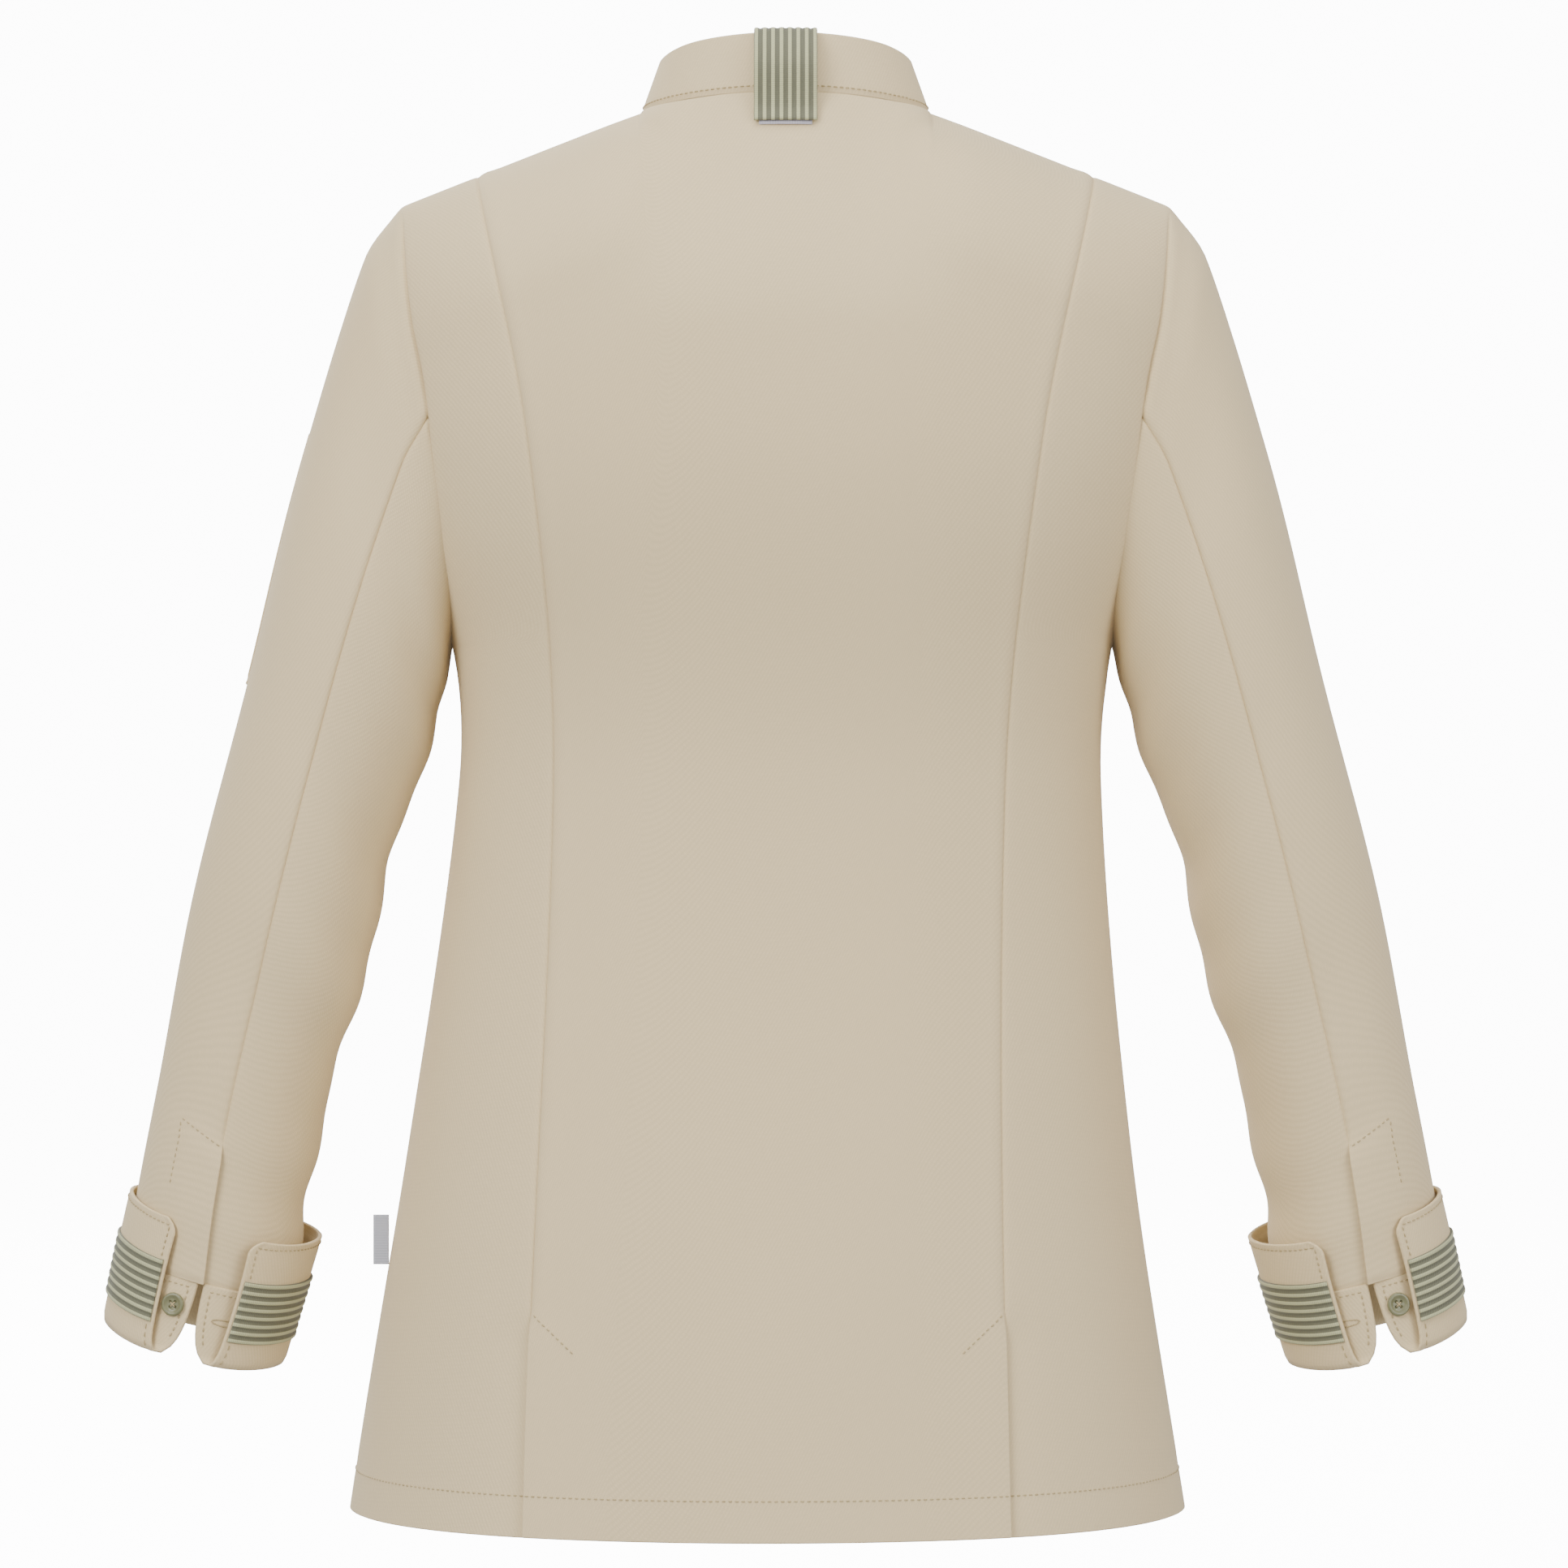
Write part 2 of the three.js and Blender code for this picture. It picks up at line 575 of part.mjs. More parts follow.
// The ribbon is sewn inside the collar and goes over its top edge.
const loopAnchorPath = [
  [innerY - 1.2, topZ - 16], [innerY - 1.9, topZ - 1],
  [innerY + 0.4, loopTopZ + 0.4], [outerTopY - 1.5, loopTopZ + 0.6],
];
node('loop_anchor', strip(loopAnchorPath, ribbonWidth, thinCloth), colours.ribbon);
const loopHinge = { y: outerTopY - 1.2, z: loopTopZ + 0.6 };
const loopDrop = 15;
const panelTopY = bodyPoint(1, 0, -loopDrop).y;
const loopPath = [
  [loopHinge.y + 0.3, loopHinge.z], [outerTopY + 3.2, topZ - 0.2], [outerTopY + 9.4, topZ - 8],
  [neckBack + 7.8, topZ - 17], [bodyPoint(1, 0, -8).y + 3.8, -8], [panelTopY + 3.0, -loopDrop],
];
node('collar_loop', strip(loopPath, ribbonWidth, thinCloth), colours.ribbon);
const onBack = (z, off) => [bodyPoint(1, 0, z).y + off, z];
const backingPath = [onBack(-5, 0.9), onBack(-11, 0.9), onBack(-17, 0.9)];
node('loop_backing', strip(backingPath, backingWidth, thinCloth), colours.backing);
const studSpot = new THREE.Vector3(0, bodyPoint(1, 0, -10).y + 1.7, -10);
const studOut = new THREE.Vector3(0, 1, 0.45).normalize();
const post = node('loop_post', solidOf(disc(3.2, 0.9, 0.3)), colours.metal, 0.35, 0.8);
placeOn(post, studSpot, studOut);

const hangerZ = -14;
const hangerHalf = 32;
const hangerPath = evenly(-1, 1, 8).map((t) => {
  const sag = 4 * (1 - t * t);
  const x = hangerHalf * t;
  return new THREE.Vector3(x, bodyPoint(1, angleAt(x, hangerZ), hangerZ).y - 5.6 - sag, hangerZ - sag);
});
const hangerFace = (dy) => [3, -3]
  .map((dz) => hangerPath.map((p) => p.clone().add(new THREE.Vector3(0, dy + dz * 0.35 * (dz < 0), dz))));
node('hanger_loop', sheetSolid(hangerFace(0), hangerFace(-thinCloth)), colours.backing);

// ---------------------------------------------------------------- sleeves

function armCurve(stations) {
  const points = stations.map(([x, z]) => new THREE.Vector3(x, 0, z));
  return new THREE.CatmullRomCurve3(points, false, 'centripetal');
}

const topCurve = armCurve(sleeveTop);
const underCurve = armCurve(sleeveUnder);

function sleevePoint(side, ring, t) {
  const turn = (2 * Math.PI * ring) / ringSteps;
  const top = topCurve.getPointAt(t);
  const under = underCurve.getPointAt(t);
  const face = Math.sin(turn) >= 0 ? 1 : -1;
  const startDepth = face > 0 ? armholeDepth.back : armholeDepth.front;
  const depth = mix(startDepth, wristDepth, smooth(t * 0.55 + 0.45 * t * t));
  const middle = top.clone().add(under).multiplyScalar(0.5);
  const half = top.clone().sub(under).multiplyScalar(0.5 * Math.cos(turn));
  const point = middle.add(half);
  point.y = depth * Math.sin(turn);
  point.x *= side;
  // At the armhole the ring follows the body's edge, and this fades out down the arm.
  const aroundFromTop = ((ring % ringSteps) + ringSteps) % ringSteps;
  const [angle, z] = armholeAngle(face, Math.min(aroundFromTop, ringSteps - aroundFromTop));
  const body = bodyPoint(face, side * angle, z);
  const plain = mix(chestHalf, shoulderHalf, (1 + Math.cos(turn)) / 2);
  const fade = Math.max(0, 1 - t / 0.3) ** 2;
  point.x += (body.x - side * plain) * fade;
  return point;
}

const wristTop = topCurve.getPointAt(1);
const wristUnder = underCurve.getPointAt(1);
const wristAcross = new THREE.Vector3().subVectors(wristTop, wristUnder);
const wristHalf = wristAcross.length() / 2;
const wristCentre = wristTop.clone().add(wristUnder).multiplyScalar(0.5);
wristAcross.normalize();
const wristDown = new THREE.Vector3(wristAcross.z, 0, -wristAcross.x);
const seamRing = ringSteps / 4;
const frontRing = Math.round(ringSteps * 0.65);

function sleeveGrid(side, rings) {
  const grid = evenly(0, 1, sleeveRows).map((t) => rings.map((ring) => sleevePoint(side, ring, t)));
  return panelOf(grid, (p) => {
    const down = new THREE.Vector3(side * 0.25, 0, -1);
    const centre = new THREE.Vector3(side * (167 + (-49 - p.z) * 0.215), 0, p.z);
    return new THREE.Vector3().subVectors(p, centre).projectOnPlane(down.normalize()).setY(p.y * 1.2);
  });
}

const sleevePanels = {};
sides.forEach(([side, word]) => {
  const topRings = evenly(frontRing - ringSteps, seamRing, ringSteps - frontRing + seamRing);
  const underRings = evenly(seamRing, frontRing, frontRing - seamRing);
  const top = sleeveGrid(side, topRings);
  const under = sleeveGrid(side, underRings);
  weld([top, under]);
  sleevePanels[side] = { top, under };
  // The back seam is left open above the cuff, as a slit.
  const slitRow = sleeveRows - 2;
  const opened = (panel, back, col) => {
    const grid = drawnBack(panel.grid, back);
    for (let j = slitRow + 1; j <= sleeveRows; j++) {
      const neighbour = col === 0 ? 1 : col - 1;
      const step = (slitOpening * (j - slitRow)) / (sleeveRows - slitRow);
      grid[j][col].add(new THREE.Vector3().subVectors(grid[j][neighbour], grid[j][col]).setLength(step));
    }
    return sheetSolid(grid, inset(grid, panel.normal, cloth));
  };
  const half = seamGap / 2;
  const back = [armholeGap, half, half, half];
  node(`top_sleeve_${word}`, opened(top, back, topRings.length - 1), colours.twill);
  node(`under_sleeve_${word}`, opened(under, back, 0), colours.twill);
  // The slit's placket lies inside the under sleeve and runs on under the slit.
  const placket = part(under, [slitRow - 1, sleeveRows], [0, 1]);
  const placketLayer = layer(placket, facingFrom, facingFrom + thinCloth, [0.3, 0.6, 2.5, 0.3]);
  node(`sleeve_placket_${word}`, placketLayer, colours.facing);
});

// The pen pocket is a patch on the outer front of the left sleeve, square to the sleeve.
const sleeveDown = wristDown.clone();
function onSleeve(ring, down) {
  let low = 0;
  let high = 1;
  for (let step = 0; step < 30; step++) {
    const middle = (low + high) / 2;
    if (sleevePoint(1, ring, middle).sub(topCurve.getPointAt(0)).dot(sleeveDown) < down) low = middle;
    else high = middle;
  }
  return sleevePoint(1, ring, (low + high) / 2);
}
const pocketDowns = evenly(pocketDrop, pocketDrop + pocketLength, 4);
const pocketRings = evenly(-4, 0, 4);
const pocketGrid = pocketDowns.map((down) => pocketRings.map((ring) => onSleeve(ring, down)));
const pocketPanel = panelOf(pocketGrid, () => new THREE.Vector3(1, -1, 0));
node('pen_pocket', layer(pocketPanel, -pocketLift, -pocketLift - cloth, [0, 0, 0, 0]), colours.twill);

// ---------------------------------------------------------------- cuffs

// A cuff is a split band, sewn to the sleeve's end, folded at the bottom and turned back up.
const standOff = cuffSpread + cuffFlare;
const offAt = (t) => mix(cuffSpread, standOff, t);
const splitAt = (t) => mix(cuffSplit.fold, cuffSplit.top, t);
const cuffPath = [
  { off: -cloth / 2, down: seamGap / 2, split: cuffSplit.seam },
  { off: -cloth / 2, down: cuffInside - 1.6, split: cuffSplit.fold * 0.85 },
  { off: 0.3, down: cuffInside - 0.3, split: cuffSplit.fold },
  { off: cuffSpread - 1.0, down: cuffInside - 0.3, split: cuffSplit.fold },
  { off: cuffSpread, down: cuffInside - 1.8, split: cuffSplit.fold },
  { off: offAt(0.35), down: cuffInside - ribbonAbove, split: splitAt(0.3) },
  { off: offAt(0.8), down: cuffInside - ribbonAbove - ribbonWidth, split: splitAt(0.8) },
  { off: standOff, down: cuffInside - cuffTurned, split: cuffSplit.top },
];

function cuffPoint(side, row, i, shift) {
  const before = cuffPath[Math.max(0, row - 1)];
  const after = cuffPath[Math.min(cuffPath.length - 1, row + 1)];
  const out = new THREE.Vector2(after.down - before.down, before.off - after.off).normalize();
  const off = cuffPath[row].off + out.x * shift;
  const down = cuffPath[row].down + out.y * shift;
  const splitAngle = cuffPath[row].split / ((wristHalf + wristDepth) / 2);
  const turn = mix(Math.PI / 2 + splitAngle, (5 * Math.PI) / 2 - splitAngle, i / ringSteps);
  const point = wristCentre.clone().addScaledVector(wristAcross, (wristHalf + off) * Math.cos(turn));
  point.y = (wristDepth + off) * Math.sin(turn);
  point.addScaledVector(wristDown, down);
  point.x *= side;
  return point;
}

const across = evenly(0, ringSteps, ringSteps);
sides.forEach(([side, word]) => {
  const face = (rows, shift) => rows.map((row) => across.map((i) => cuffPoint(side, row, i, shift)));
  const allRows = cuffPath.map((_, k) => k);
  node(`cuff_band_${word}`, sheetSolid(face(allRows, cloth / 2), face(allRows, -cloth / 2)), colours.twill);
  // The ribbon is stitched on the turned-back part, which has its face where the fold put it.
  const ribbonRows = [5, 6];
  const ribbonLow = -cloth / 2 - layerGap * 0.75;
  const ribbon = sheetSolid(face(ribbonRows, ribbonLow), face(ribbonRows, ribbonLow - thinCloth));
  node(`cuff_ribbon_${word}`, ribbon, colours.ribbon);
  // The button is sewn on between the two cut ends, beside the outer one.
  const buttonTurn = Math.PI / 2 - (cuffSplit.fold * 0.4 + buttonRadius) / wristHalf;
  const spot = wristCentre.clone().addScaledVector(wristAcross, wristHalf * Math.cos(buttonTurn));
  spot.y = wristDepth * Math.sin(buttonTurn);
  spot.addScaledVector(wristDown, cuffInside * 0.42);
  const out = wristAcross.clone().multiplyScalar(Math.cos(buttonTurn) / wristHalf);
  out.y = Math.sin(buttonTurn) / wristDepth;
  out.normalize();
  spot.addScaledVector(out, 0.35);
  [spot, out].forEach((v) => { v.x *= side; });
  const buttonSolid = solidOf(disc(buttonRadius, buttonHeight, 0.3));
  const button = node(`cuff_button_${word}`, buttonSolid, colours.olive, 0.5);
  placeOn(button, spot, out);
});

// ---------------------------------------------------------------- side label

// A woven tag folded in two and caught in the left side seam.
const labelRoot = bodyPoint(1, Math.PI / 2, -labelDrop - labelHeight / 2);
const tag = new THREE.Shape();
tag.moveTo(0.6, -0.6);
tag.lineTo(labelLength - 0.6, -0.6);
tag.absarc(labelLength - 0.6, 0, 0.6, -Math.PI / 2, Math.PI / 2, false);
tag.lineTo(0.6, 0.6);
tag.lineTo(0.6, -0.6);
const tagCut = { depth: labelHeight, bevelEnabled: false, curveSegments: 4 };
const tagGeometry = new THREE.ExtrudeGeometry(tag, tagCut);
const label = node('side_label', solidOf(tagGeometry), colours.label);
label.position.set(labelRoot.x, 0, -labelDrop - labelHeight / 2);

export default group;
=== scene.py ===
from math import pi, sin, cos, asin, radians
import bpy
import numpy as np
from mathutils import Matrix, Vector


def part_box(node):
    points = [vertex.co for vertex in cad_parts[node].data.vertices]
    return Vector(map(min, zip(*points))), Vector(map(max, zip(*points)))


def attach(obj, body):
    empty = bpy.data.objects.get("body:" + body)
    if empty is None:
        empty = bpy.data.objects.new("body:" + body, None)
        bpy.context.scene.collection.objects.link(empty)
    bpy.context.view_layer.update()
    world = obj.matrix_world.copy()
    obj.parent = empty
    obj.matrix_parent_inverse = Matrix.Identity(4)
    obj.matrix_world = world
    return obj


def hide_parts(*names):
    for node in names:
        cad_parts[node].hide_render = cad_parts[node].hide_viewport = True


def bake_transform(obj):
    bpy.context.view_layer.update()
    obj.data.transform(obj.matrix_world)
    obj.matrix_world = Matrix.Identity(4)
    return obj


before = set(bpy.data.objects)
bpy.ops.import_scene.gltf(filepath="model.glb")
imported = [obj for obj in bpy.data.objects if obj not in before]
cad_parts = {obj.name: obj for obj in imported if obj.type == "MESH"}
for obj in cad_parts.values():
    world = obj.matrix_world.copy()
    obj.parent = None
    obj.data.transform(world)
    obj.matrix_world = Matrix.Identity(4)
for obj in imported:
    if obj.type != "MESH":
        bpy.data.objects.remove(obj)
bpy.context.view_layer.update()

MM = 0.001

# ---------------------------------------------------------------- the room
# A plain white paper floor that curves up into white walls all round, with large soft lights at
# the sides and one above, as small studio work is lit. The camera looks at the jacket's back.


def linear(hex_colour):
    """An sRGB hex colour as the linear colour that a shader takes."""
    parts = [((hex_colour >> shift) & 255) / 255 for shift in (16, 8, 0)]
    return (*[p / 12.92 if p <= 0.04045 else ((p + 0.055) / 1.055) ** 2.4 for p in parts], 1.0)


def finish_named(name, **settings):
    """A new material with these values on its surface shader, which comes back with it."""
    material = bpy.data.materials.new(name)
    material.use_nodes = True
    shader = material.node_tree.nodes["Principled BSDF"]
    for socket, value in settings.items():
        shader.inputs[socket.replace("_", " ")].default_value = value
    return material, shader


def mesh_object(name, points, faces, material, uv=None):
    """A smooth object from points in mm and faces. uv holds the cloth's own flat coordinates in mm."""
    mesh = bpy.data.meshes.new(name)
    mesh.from_pydata((np.asarray(points, float) * MM).tolist(), [], [list(map(int, f)) for f in faces])
    mesh.polygons.foreach_set("use_smooth", [True] * len(mesh.polygons))
    if uv is not None:
        layer = mesh.uv_layers.new(name="cloth")
        corner = np.empty(len(mesh.loops), int)
        mesh.loops.foreach_get("vertex_index", corner)
        layer.data.foreach_set("uv", (np.asarray(uv, float)[corner] * MM).ravel())
    mesh.validate()
    mesh.materials.append(material)
    made = bpy.data.objects.new(name, mesh)
    bpy.context.collection.objects.link(made)
    return made


FLOOR_HEIGHT = -790.0
FLOOR_HALF, COVE, VAULT = 10500.0, 3500.0, 12600.0
ROOM_SIDES = 64
room_line = [(r, 0.0) for r in np.linspace(60, FLOOR_HALF, 10)]
room_line += [(FLOOR_HALF + COVE * sin(a), COVE * (1 - cos(a))) for a in np.linspace(0.2, pi / 2, 9)]
room_line += [((FLOOR_HALF + COVE) * cos(a), COVE + VAULT * sin(a))
              for a in np.linspace(0.2, pi / 2 - 0.02, 12)]
room_points = [(r * cos(2 * pi * k / ROOM_SIDES), r * sin(2 * pi * k / ROOM_SIDES), FLOOR_HEIGHT + z)
               for r, z in room_line for k in range(ROOM_SIDES)]
room_faces = [(j * ROOM_SIDES + k, j * ROOM_SIDES + (k + 1) % ROOM_SIDES,
               (j + 1) * ROOM_SIDES + (k + 1) % ROOM_SIDES, (j + 1) * ROOM_SIDES + k)
              for j in range(len(room_line) - 1) for k in range(ROOM_SIDES)]
room_faces.append(tuple(range(ROOM_SIDES)))
# White background paper, evenly lit: it has no visible grain at this distance.
paper, _ = finish_named("white_paper", Base_Color=linear(0xF4F4F2), Roughness=0.95, Specular_IOR_Level=0.0,
                        Emission_Color=linear(0xFFFFFF), Emission_Strength=12.0)
room = mesh_object("paper_room", room_points, room_faces, paper)
# The paper has lamps of its own, so it sends no light onto the cloth.
room.visible_diffuse = False
room.visible_glossy = False
room.visible_shadow = False


def softbox(name, place, size, power, aim=(0, 0, -0.35)):
    """A rectangular soft light turned towards the jacket."""
    data = bpy.data.lights.new(name, "AREA")
    data.shape = "RECTANGLE"
    data.size, data.size_y = size
    data.energy = power
    made = bpy.data.objects.new(name, data)
    bpy.context.collection.objects.link(made)
    made.location = place
    made.rotation_euler = (Vector(aim) - Vector(place)).to_track_quat("-Z", "Y").to_euler()


softbox("left_softbox", place=(1.7, 2.3, 0.9), size=(1.3, 1.6), power=76)
softbox("right_softbox", place=(-2.2, 2.0, 0.3), size=(1.2, 1.6), power=44)
softbox("top_softbox", place=(0.0, 0.7, 2.0), size=(2.0, 1.4), power=44, aim=(0, 0, -0.3))
softbox("front_softbox", place=(0.9, -2.3, 1.0), size=(1.5, 1.6), power=62)

world = bpy.data.worlds.new("studio")
bpy.context.scene.world = world
world.use_nodes = True
world.node_tree.nodes["Background"].inputs["Color"].default_value = linear(0xFBFBFF)
world.node_tree.nodes["Background"].inputs["Strength"].default_value = 0.72

camera_data = bpy.data.cameras.new("camera")
camera_data.sensor_width = 36.0
camera_data.lens = 123.0
camera = bpy.data.objects.new("camera", camera_data)
bpy.context.collection.objects.link(camera)
camera.location = (0.0008, 2.6, -0.329)
camera.rotation_euler = (radians(90), 0, radians(180))
bpy.context.scene.camera = camera

# ---------------------------------------------------------------- twill
# The jacket's cloth is a medium-weight cotton and polyester twill, piece-dyed in sand. It is woven
# with a steep diagonal rib, pressed, and has no shine of its own.


def add(material, kind, links=(), **settings):
    """Adds one node. links are (own socket, the node that feeds it, that node's socket).

    Settings that start with in_ are values of the node's inputs, and the rest are its properties.
    """
    tree = material.node_tree
    made = tree.nodes.new(kind)
    for key, value in settings.items():
        if key.startswith("in_"):
            socket = key[3:]
            socket = int(socket) if socket.isdigit() else socket.replace("_", " ")
            made.inputs[socket].default_value = value
        else:
            setattr(made, key, value)
    for own, other, name in links:
        tree.links.new(other.outputs[name], made.inputs[own])
    return made


def join(material, source, output, target, socket):
    material.node_tree.links.new(source.outputs[output], target.inputs[socket])


def wave_scale(spacing):
    """The scale of a wave texture whose bands are this many mm apart."""
    return 0.1 * pi / (spacing * MM)


RIB_SPACING = 1.5
FLOAT_LENGTH = 2.0


def twill_finish(name, light, dark, soft_shade):
    """Dyed twill: fine diagonal ribs give the eye a matt, slightly lively surface, with painted shade in
    the hollows between them.
    """
    made, shader = finish_named(
        name, Roughness=0.88, Sheen_Weight=0.12, Sheen_Roughness=0.55, Specular_IOR_Level=0.25)
    place = add(made, "ShaderNodeTexCoord")
    # The real ribs are 0.5 mm apart. They are drawn 1.5 mm apart, since finer ones wouldn't show.
    slanted = add(made, "ShaderNodeMapping", [("Vector", place, "UV")], in_Rotation=(0, 0, radians(27)))
    ribs = add(made, "ShaderNodeTexWave", [("Vector", slanted, "Vector")],
               bands_direction="X", wave_profile="SIN", in_Scale=wave_scale(RIB_SPACING),
               in_Distortion=1.2, in_Detail=1.0, in_Detail_Scale=0.6)
    # Weft yarns break each rib into short floats.
    floats = add(made, "ShaderNodeTexWave", [("Vector", place, "UV")],
                 bands_direction="Y", in_Scale=wave_scale(FLOAT_LENGTH), in_Distortion=2.0, in_Detail=1.0)
    woven = add(made, "ShaderNodeMath", [(0, ribs, "Fac"), (1, floats, "Fac"), (2, ribs, "Fac")],
                operation="MULTIPLY_ADD")
    slub = add(made, "ShaderNodeTexNoise", [("Vector", place, "UV")], in_Scale=420.0, in_Detail=2.0)
    wash = add(made, "ShaderNodeTexNoise", [("Vector", place, "Object")], in_Scale=5.0, in_Detail=3.0)
    dye = add(made, "ShaderNodeMix", [("Factor", wash, "Fac")],
              data_type="RGBA", in_A=linear(light), in_B=linear(soft_shade))
    # Painted shade: where the weave is low, in its hollows, the base colour is darkened towards dark. The
    # slub noise adds real yarn specks to the same mix.
    depth = add(made, "ShaderNodeMapRange", [("Value", woven, "Value")],
                in_From_Max=2.0, in_To_Min=0.11, in_To_Max=0.0)
    slub_and_valley_shade = add(made, "ShaderNodeMath", [(0, slub, "Fac"), (2, depth, "Result")],
                operation="MULTIPLY_ADD", in_1=0.1)
    yarn = add(made, "ShaderNodeMix", [("Factor", slub_and_valley_shade, "Value"), ("A", dye, "Result")],
               data_type="RGBA", in_B=linear(dark))
    join(made, yarn, "Result", shader, "Base Color")
    relief = add(made, "ShaderNodeBump", [("Height", woven, "Value")],
                 in_Strength=0.25, in_Distance=0.1 * MM)
    join(made, relief, "Normal", shader, "Normal")
    return made


twill = twill_finish("sand_twill", 0xDDC99F, 0x8F7A52, 0xD6C195)
# A darker copy of the twill, for the facings inside the jacket.
twill_darker_copy = twill_finish("sand_twill_darker_copy", 0xD0BC91, 0x84714A, 0xC8B286)

# Spun polyester sewing thread, dyed to match: a little darker in its twist than the cloth.
thread, thread_shader = finish_named("sand_thread", Roughness=0.7, Sheen_Weight=0.1)
thread_place = add(thread, "ShaderNodeTexCoord")
thread_twist = add(thread, "ShaderNodeTexNoise", [("Vector", thread_place, "Object")],
                   in_Scale=900.0, in_Detail=1.0)
thread_mix = add(thread, "ShaderNodeMix", [("Factor", thread_twist, "Fac")],
                 data_type="RGBA", in_A=linear(0xA08C60), in_B=linear(0xB9A67C))
join(thread, thread_mix, "Result", thread_shader, "Base Color")

# ---------------------------------------------------------------- back centre panel
# One cut of twill from the neck and shoulder seams to the hem, the jacket's largest piece. It is
# joined to the side panels by two long princess seams, and below them its edges are free vents.

CLOTH = 1.2
SHOULDER_HALF = 186.0
SHOULDER_DROP = 49.0
UNDERARM_DROP = 262.0
BACK_LENGTH = 678.0
VENT_TOP = -574.0
NECK_HALF, NECK_BACK, NECK_FRONT = 70.0, 58.0, 74.0
NECK_DROP, FRONT_NECK_DROP = 4.0, 58.0
SHOULDER_SLOPE = (SHOULDER_DROP - NECK_DROP) / (SHOULDER_HALF - NECK_HALF)
SQUARENESS = 2.2


def mix(a, b, t):
    return a + (b - a) * t


def smooth(t):
    t = np.clip(t, 0, 1)
    return t * t * (3 - 2 * t)


def points_of(*parts):
    """One grid of points from coordinates that may each run along only one side of it."""
    return np.stack(np.broadcast_arrays(*parts), -1)


def through(*stations):
    """A smooth curve through (height, value) pairs, heights falling, level beyond its ends."""
    height, value = np.array(stations, float).T
    last = len(height) - 1
    after = np.minimum(np.arange(last + 1) + 1, last)
    before = np.maximum(np.arange(last + 1) - 1, 0)
    slope = (value[after] - value[before]) / (height[after] - height[before])

    def at(z):
        z = np.clip(z, height[-1], height[0])
        k = np.clip(np.searchsorted(-height, -z, side="right") - 1, 0, last - 1)
        step = height[k + 1] - height[k]
        t = (z - height[k]) / step
        start = (2 * t**3 - 3 * t**2 + 1) * value[k] + (t**3 - 2 * t**2 + t) * step * slope[k]
        return start + (3 * t**2 - 2 * t**3) * value[k + 1] + (t**3 - t**2) * step * slope[k + 1]

    return at


half_width = through(
    (-49, 206), (-155.5, 195), (-208.75, 180.8), (-262, 160), (-327, 155), (-500, 175), (-678, 202))
depth_behind = through((0, 95), (-166.15, 110), (-327, 92), (-560, 124), (-678, 138))
depth_before = through((0, 104), (-166.15, 118), (-327, 112), (-560, 124), (-678, 136))


def sideways(z):
    """The hem hangs a little towards the wearer's left."""
    return 9.0 * smooth((-z - 100) / 578)


def top_line(face, x):
    """Depth and height of the top edge: the neck ring near the middle, the shoulder seam outside it."""
    share = np.clip(1 - (x / NECK_HALF) ** 2, 0, 1)
    ring_z = -NECK_DROP * (1 - share) if face > 0 else -NECK_DROP - FRONT_NECK_DROP * share
    shoulder_z = -NECK_DROP - SHOULDER_SLOPE * (x - NECK_HALF)
    y = (NECK_BACK if face > 0 else NECK_FRONT) * np.sqrt(share)
    return np.where(x >= NECK_HALF, 0.0, y), np.where(x >= NECK_HALF, shoulder_z, ring_z)


def angle_at(x, z):
    share = np.minimum(1, np.abs(x) / half_width(z))
    return np.sign(x) * np.arcsin(share ** (SQUARENESS / 2))


def body_point(face, angle, z):
    """The point of the jacket's form at this angle from the centre line and this height."""
    x = half_width(z) * np.sign(angle) * np.abs(np.sin(angle)) ** (2 / SQUARENESS)
    depth = (depth_behind if face > 0 else depth_before)(z)
    depth = depth * np.maximum(0, np.cos(angle)) ** (2 / SQUARENESS)
    top_y, top_z = top_line(face, np.abs(x))
    fall = np.maximum(0, top_z - z)
    # Below the neckline the cloth rounds off the corner where the neck meets the shoulder.
    spread = smooth(fall / 18)
    shares = [np.clip(1 - (x / (NECK_HALF + wider * spread)) ** 2, 0, 1) for wider in (-12, -6, 0, 6, 12)]
    eased = sum(np.sqrt(share) for share in shares) / len(shares)
    top_y = mix(top_y, (NECK_BACK if face > 0 else NECK_FRONT) * eased, spread)
    near_neck = np.sin(pi / 2 * np.minimum(1, fall / 115))
    near_shoulder = np.sin(np.arccos(1 - np.minimum(1, fall / 75)))
    rounding = mix(near_neck, near_shoulder, smooth((np.abs(x) - 30) / 60))
    return points_of(x + sideways(z), face * (top_y + (depth - top_y) * rounding), z)


def lines(length, step):
    """Shares of a length for the grid's lines, closer together beside its two edges."""
    near = np.array([0, 0.35, 0.9, 1.7, 2.8, 4.4, 6.5])
    middle = np.linspace(9, length - 9, max(2, round((length - 18) / step) + 1))
    return np.concatenate([near, middle, length - near[::-1]]) / length


def row_height(top_z, v):
    """Heights of the rows: they follow the armhole's curve down to the underarm, then are even."""
    k = 18 * v
    upper = mix(top_z, -UNDERARM_DROP, (1 - np.cos(pi * np.minimum(k, 10) / 10)) / 2)
    return np.where(k <= 10, upper, mix(-UNDERARM_DROP, -BACK_LENGTH, (k - 10) / 8))


def seam_edge(top_z, half, v):
    z = row_height(top_z, v)
    return angle_at(half(z), z), z


def fill(face, top, bottom, first, last, u, v):
    """The points of a panel between its four edges, each given as angles and heights."""
    u, v = u[None, :], v[:, None]
    pair = []
    for t, b, f, e in zip(top, bottom, first, last):
        corners = mix(mix(t[0], t[-1], u), mix(b[0], b[-1], u), v)
        pair.append(mix(t[None, :], b[None, :], v) + mix(f[:, None], e[:, None], u) - corners)
    return body_point(face, pair[0], pair[1])


def crest(x):
    z = top_line(1, x)[1]
    return angle_at(x, z), z


def ring(face, turn):
    x = NECK_HALF * np.sin(turn)
    z = top_line(face, np.abs(x))[1]
    return angle_at(x, z), z


